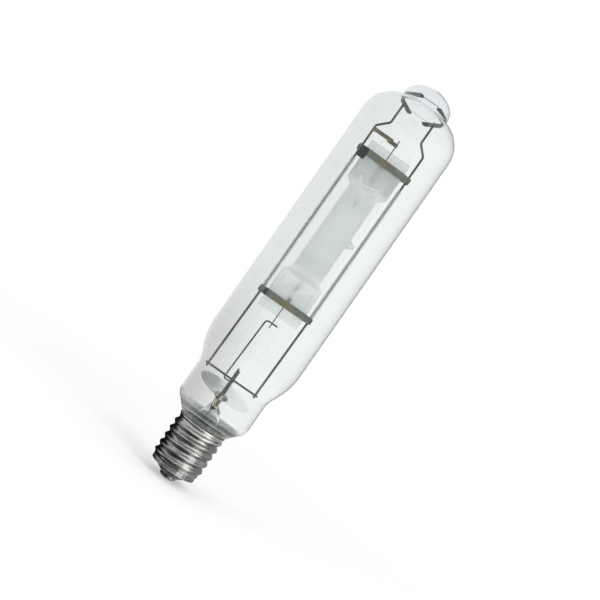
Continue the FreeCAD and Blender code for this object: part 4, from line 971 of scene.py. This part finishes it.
def make_strap(level, side):
    """Pressed strap past one side of a pinch: stepped in to the rods, ribbed, with weld marks."""
    low, high = span(f"{level}_clamp_{side}")
    sign = -1 if side == "front" else 1
    near, far = sign * STRAP_NEAR, sign * STRAP_FAR
    left, right = FRAME_X - PINCH_HALF, FRAME_X + PINCH_HALF
    path = rounded([
        (low.x, near), (left - STRAP_STEP, near, STRAP_BEND), (left, far, STRAP_BEND),
        (right, far, STRAP_BEND), (right + STRAP_STEP, near, STRAP_BEND), (high.x, near)], step=15.0)
    if sign > 0:
        path = path[::-1]
    length = sum((b - a).length for a, b in zip(path, path[1:]))
    middle = (low.z + high.z) / 2
    half = (high.z - low.z) / 2
    tilt, trim = (STRAP_TILT, STRAP_TRIM) if level == "upper" else (0.0, 0.0)

    def place(point, across):
        return point.x, point.y, middle + across - tilt * (point.x - FRAME_X)

    def half_widths(run, whole):
        return half - narrowing(run, whole, 1.1, 0.9) - trim

    def relief(run, across):
        along = run * (high.x - low.x) / length
        x = low.x + along if sign < 0 else high.x - along
        ribbed = abs(x - FRAME_X) < PINCH_HALF - RIB_INSET
        lift = RIB_HEIGHT * max(0.0, 1 - abs(abs(across) - half * RIB_PLACE) / RIB_HALF) * ribbed
        for rod in (FRAME_X - ROD_SPACING / 2, FRAME_X + ROD_SPACING / 2):
            for spot in WELD_PLACES:
                away = math.hypot(x - rod - WELD_BESIDE * math.copysign(1, rod), across - spot)
                lift -= weld_mark(away, 0.6, 0.14)
        return lift

    return ribbon(f"strap_{level}_{side}", path, STRAP_SHEET, half_widths, place, relief)


def make_spring(side, sign):
    """Bowed strip of the crown with round ends, crowned across its width."""
    low, high = span(f"crown_spring_{side}")
    tip, heel = (5.5, 6.4) if sign < 0 else (7.7, 4.6)
    slope = math.radians(SPRING_SLOPE)
    reach = high.x if sign > 0 else -low.x
    corner = reach + SPRING_OUTER_BEND * (1 / math.sin(slope) - 1) - SPRING_SHEET / 2
    fall = math.tan(slope)
    middle = high.z - (corner - tip) * fall - SPRING_TOP_GAP
    path = rounded([
        (sign * tip, middle + (corner - tip) * fall), (sign * corner, middle, SPRING_BEND),
        (sign * heel, middle - (corner - heel) * fall)], step=5.0)
    if sign > 0:
        path = path[::-1]

    def half_widths(run, whole):
        inset = max(0.0, 1 - min(run, whole - run) / SPRING_END_RADIUS)
        return SPRING_TIP_HALF + (SPRING_HALF - SPRING_TIP_HALF) * math.sqrt(max(0.0, 1 - inset ** 2))

    def relief(run, across):
        return SPRING_DISH[0] * (across / SPRING_HALF) ** 2 - SPRING_DISH[1]

    return ribbon(f"spring_{side}", path, SPRING_SHEET, half_widths,
                  lambda point, across: (point.x, across, point.y), relief)


def make_link(part):
    """Flat ribbon of the upper link, with wavy edges and a weld mark at each end."""
    low, high = span(f"upper_link_{part}")
    depth = (low.y + high.y) / 2
    middle = (low.z + high.z) / 2
    half = (high.z - low.z) / 2
    welds = (LINK_WELDS[0], high.x - low.x - LINK_WELDS[1])

    def half_widths(run, whole):
        return half - narrowing(run, whole, 0.8, 0.5) - LINK_WAVE * math.sin(run * 1.1) ** 2

    def relief(run, across):
        return -sum(weld_mark(math.hypot(run - spot, across), 0.9, 0.12) for spot in welds)

    return ribbon(f"link_{part}", [Vector((low.x, depth)), Vector((high.x, depth))], LINK_SHEET, half_widths,
                  lambda point, across: (point.x, point.y, middle + across), relief)


def make_getter():
    """Pressed can on the strap: a body with a raised rim and a sunken face."""
    low, high = span("getter")
    centre = (low + high) / 2
    wide, tall = (high.x - low.x) / 2, (high.z - low.z) / 2
    points = []
    for inset, y in [(0.0, high.y)] + [(inset, low.y + depth) for inset, depth in GETTER_FACE]:
        corner = max(0.3, 1.0 - inset * 0.5)
        ring = []
        for sx, sz, start in ((1, 1, 0), (-1, 1, 90), (-1, -1, 180), (1, -1, 270)):
            spot = (sx * (wide - inset - corner), sz * (tall - inset - corner))
            ring += arc_points(spot, corner, start, start + 90, 5)
        points += [(centre.x + p.x, y, centre.z + p.y) for p in ring]
    return capped("getter_can", points, len(ring), 30)


def make_electrode(side, sign):
    """Tungsten shank with its wound coil."""
    low, high = span(f"{side}_electrode")
    tip = high.z if sign > 0 else low.z
    foot, top = sorted(tip - sign * reach for reach in WINDING_REACH)
    shank = straight_wire(f"{side}_shank", f"{side}_electrode", SHANK_RADIUS)
    winding = coil(f"{side}_winding", FRAME_X, WINDING_RADIUS, foot + WINDING_END, top - WINDING_END,
                   WINDING_WIRE)
    return joined(f"{side}_electrode_wound", [shank, winding])


def make_sleeve(side, shift):
    low, high = span(f"rod_sleeve_{side}")
    outer = (high.x - low.x) / 2
    wall = rounded([(SLEEVE_BORE, low.z), (outer, low.z, 0.3), (outer, high.z, 0.3), (SLEEVE_BORE, high.z)],
                   step=30.0)
    piece = lathe(f"sleeve_{side}", divided(wall, 20.0), 32, closed=True)
    piece.data.transform(Matrix.Translation((shift * MM, 0, 0)))
    return piece


def make_pieces(materials):
    slots = {row["node"]: row["material_slot"] for row in frame["record"]["subparts"]}

    def add(piece, node_name):
        """Give a piece the material of its slot and its place in the construction, and hide the node it
        stands for.
        """
        slot = slots[node_name]
        piece.data.materials.append(materials[slot])
        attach(piece, "root")
        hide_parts(node_name)

    add(make_bulb(), "outer_bulb")
    add(make_shell(), "screw_shell")
    add(make_insulator(), "cap_insulator")
    add(make_contact(), "centre_contact")
    add(make_stem(), "glass_stem")
    add(make_arc_tube(), "arc_tube")
    for side, sign in (("left", -1), ("right", 1)):
        add(make_rod(side, sign), f"frame_rod_{side}")
    add(make_riser(), "riser_wire")
    for level in ("lower", "upper"):
        for side in ("front", "back"):
            add(make_strap(level, side), f"{level}_clamp_{side}")
    for side, sign in (("left", -1), ("right", 1)):
        add(make_spring(side, sign), f"crown_spring_{side}")
        add(make_sleeve(side, FRAME_X + sign * ROD_SPACING / 2), f"rod_sleeve_{side}")
    for side, sign in (("lower", 1), ("upper", -1)):
        add(make_electrode(side, sign), f"{side}_electrode")
        add(straight_wire(f"{side}_lead_drawn", f"{side}_lead", ARC_LEAD_RADIUS), f"{side}_lead")
    for part in ("strip", "tab"):
        add(make_link(part), f"upper_link_{part}")
    add(make_getter(), "getter")
    for name, node_name, radius, axis in STRAIGHT_WIRES:
        add(straight_wire(name, node_name, radius, axis), node_name)


def dress_nodes(materials):
    """Give every node that still shows the material of its slot."""
    for row in frame["record"]["subparts"]:
        item = frame["nodes"][row["node"]]
        if not item.hide_render:
            item.data.materials.clear()
            item.data.materials.append(materials[row["material_slot"]])


# Studio; lamps are in metres
SOFT_LIGHT = 0.62
FLOOR_RINGS = (0, 120, 260, 420, 600)
FLOOR_GLOW = 0.36
FLOOR_FADE = (150.0, 420.0)
FLOOR_DROP = 0.0002
LAMP_TARGET = (0, 0, 0.17)
LAMP_SIZE = (0.6, 0.8)
BOUNCES = 32


def background_share(tree):
    """1 for rays that show the background: straight, mirrored or seen through glass."""
    path = node(tree, "LightPath").outputs
    return larger(tree, path["Is Camera Ray"], path["Is Glossy Ray"], path["Is Transmission Ray"])


def make_world():
    world = bpy.data.worlds.new("studio")
    scene.world = world
    world.use_nodes = True
    tree = world.node_tree
    tree.nodes.clear()
    light, white = (shader(tree, "Background", {"Color": WHITE, "Strength": strength})
                    for strength in (SOFT_LIGHT, 1.0))
    node(tree, "OutputWorld", {"Surface": blended(tree, background_share(tree), light, white)})


def floor_paper(tree):
    """White that keeps the shadow and fades into the background."""
    grain = noise(tree, 0.4)
    paper = shader(tree, "BsdfDiffuse", {"Color": ramp(tree, grain, [(0.3, 0.80), (0.7, 0.82)])})
    glow = times(tree, background_share(tree), FLOOR_GLOW)
    lift = shader(tree, "Emission", {"Color": WHITE, "Strength": glow})
    lit = shader(tree, "AddShader", {0: paper, 1: lift})
    distance = node(tree, "VectorMath", {0: position(tree)}, operation="LENGTH").outputs["Value"]
    fade = scaled(tree, distance, *FLOOR_FADE, interpolation_type="SMOOTHSTEP")
    output(tree, blended(tree, fade, lit, shader(tree, "BsdfTransparent")))


def make_floor():
    floor = lathe("floor", [(radius, 0) for radius in FLOOR_RINGS], 64)
    floor.data.flip_normals()
    floor.data.materials.append(new_material("floor_paper", floor_paper))
    floor.location.z = -FLOOR_DROP


CARD = 60
RIM_CARD = (36, 56)
# Cards that polished surfaces mirror: outline as radius and height, how far the edges of the tones waver, and
# the tones by degrees to the right of the front
CARDS = {
    "cap_wall": ([(CARD, 0.3), (CARD, RIM_CARD[0])], 0.35, [
        (-180, 0.06), (-150, 0.01), (-104, 0.005), (-94, 0.3), (-76, 1.1), (-54, 0.9), (-34, 0.22),
        (-8, 0.12), (26, 0.2), (41, 3.0), (48, 3.0), (58, 0.6), (100, 0.46), (150, 0.44), (180, 0.16)]),
    "rim_wall": ([(CARD, RIM_CARD[0]), (CARD, RIM_CARD[1])], 0.3, [
        (-180, 0.06), (-150, 0.01), (-100, 0.01), (-88, 0.3), (-60, 0.35), (-20, 1.4), (5, 2.4), (30, 2.4),
        (52, 2.4), (68, 0.6), (100, 0.5), (150, 0.44), (180, 0.16)]),
    "cap_lid": ([(CARD, RIM_CARD[1]), (33, RIM_CARD[1])], 0.3, [
        (-180, 0.05), (-150, 0.02), (-96, 0.02), (-90, 0.3), (-68, 0.8), (-50, 0.75), (-8, 0.6), (28, 0.85),
        (38, 1.9), (52, 1.9), (66, 0.5), (150, 0.4), (180, 0.16)]),
    "cap_tray": ([(8, 0.1), (50, 0.1)], 0.3, [
        (-180, 0.04), (-150, 0.01), (-96, 0.01), (-86, 0.02), (-62, 0.04), (-40, 0.06), (-8, 0.13), (32, 0.3),
        (40, 1.2), (52, 1.2), (62, 0.46), (150, 0.34), (180, 0.12)]),
    "cap_skirt": ([(50, 0.1), (CARD, 0.1)], 0.3, [
        (-180, 0.04), (-150, 0.01), (-96, 0.01), (-86, 0.12), (-62, 0.25), (-40, 0.3), (-15, 0.9), (10, 1.8),
        (50, 2.0), (66, 0.5), (150, 0.34), (180, 0.12)]),
    "room_cards": (arc_points((0, 0), 900, -70, 90, 36), 0.0, [
        (-180, 0.95), (-130, 0.9), (-90, 0.5), (-30, 0.42), (38, 0.46), (66, 0.45), (104, 0.35), (124, 0.02),
        (180, 0.02)]),
}
BRIGHTEST = 3.0
ROOM_TOP = (0.45 / BRIGHTEST,) * 3 + (1,)
ROOM_TOP_SPAN = (700, 880)


def card_tones(tree, name, waver, tones):
    """Glow that changes round the lamp and shows on the inside only."""
    x, y, z = axes(tree)
    angle = math_of(tree, "ARCTAN2", x, times(tree, y, -1.0))
    if waver:
        angle = plus(tree, angle, wander(tree, noise(tree, 0.12), waver))
    turn = scaled(tree, angle, -math.pi, math.pi)
    colour = ramp(tree, turn, [((degrees + 180) / 360, tone / BRIGHTEST) for degrees, tone in tones])
    if name == "room_cards":
        colour = mixed(tree, scaled(tree, z, *ROOM_TOP_SPAN), colour, ROOM_TOP)
    card = shader(tree, "Emission", {"Color": colour, "Strength": BRIGHTEST})
    outside = node(tree, "NewGeometry").outputs["Backfacing"]
    output(tree, blended(tree, outside, shader(tree, "BsdfTransparent"), card))


def make_cards(name, profile, *look):
    """Cards round the lamp that only its polished surfaces mirror."""
    cards = lathe(name, profile, 72)
    cards.data.materials.append(new_material(name + "_tones", card_tones, name, *look))
    for kind in ("camera", "diffuse", "transmission", "shadow", "volume_scatter"):
        setattr(cards, "visible_" + kind, False)


def make_lamp(name, place, power):
    """Soft box aimed at the lamp's middle, which no surface mirrors."""
    data = bpy.data.lights.new(name, "AREA")
    data.shape = "RECTANGLE"
    data.size, data.size_y = LAMP_SIZE
    data.energy = power
    lamp = new_object(name, data)
    lamp.location = place
    lamp.rotation_euler = (Vector(LAMP_TARGET) - Vector(place)).to_track_quat("-Z", "Y").to_euler()
    lamp.visible_glossy = False
    lamp.visible_transmission = False


# Camera: level with the lamp's middle and rolled, so that the upright lamp leans as in the photograph
CAMERA_LEAN = 35.0
CAMERA_DISTANCE = 750.0
CAMERA_FIELD = 440.0
CAMERA_AIM = (5.7, 162.5)


def make_camera():
    data = bpy.data.cameras.new("camera")
    data.sensor_width = 36.0
    data.lens = data.sensor_width * CAMERA_DISTANCE / CAMERA_FIELD
    data.clip_start = 0.01
    camera = new_object("camera", data)
    lean = math.radians(CAMERA_LEAN)
    right = Vector((math.cos(lean), 0, math.sin(lean)))
    up = Vector((-math.sin(lean), 0, math.cos(lean)))
    back = Vector((0, -1, 0))
    turn = Matrix((right, up, back)).transposed().to_4x4()
    spot = Vector((CAMERA_AIM[0], -CAMERA_DISTANCE, CAMERA_AIM[1])) * MM
    camera.matrix_world = Matrix.Translation(spot) @ turn
    scene.camera = camera


def make_studio():
    make_world()
    make_floor()
    for name, row in CARDS.items():
        make_cards(name, *row)
    make_lamp("key", (0.7, -0.8, 0.8), 4.5)
    make_lamp("fill", (-0.9, -0.6, 0.5), 2.0)
    make_camera()
    scene.view_settings.view_transform = "Standard"
    for kind in ("max", "transmission", "transparent_max"):
        setattr(scene.cycles, kind + "_bounces", BOUNCES)


materials = make_materials()
make_pieces(materials)
dress_nodes(materials)
make_studio()
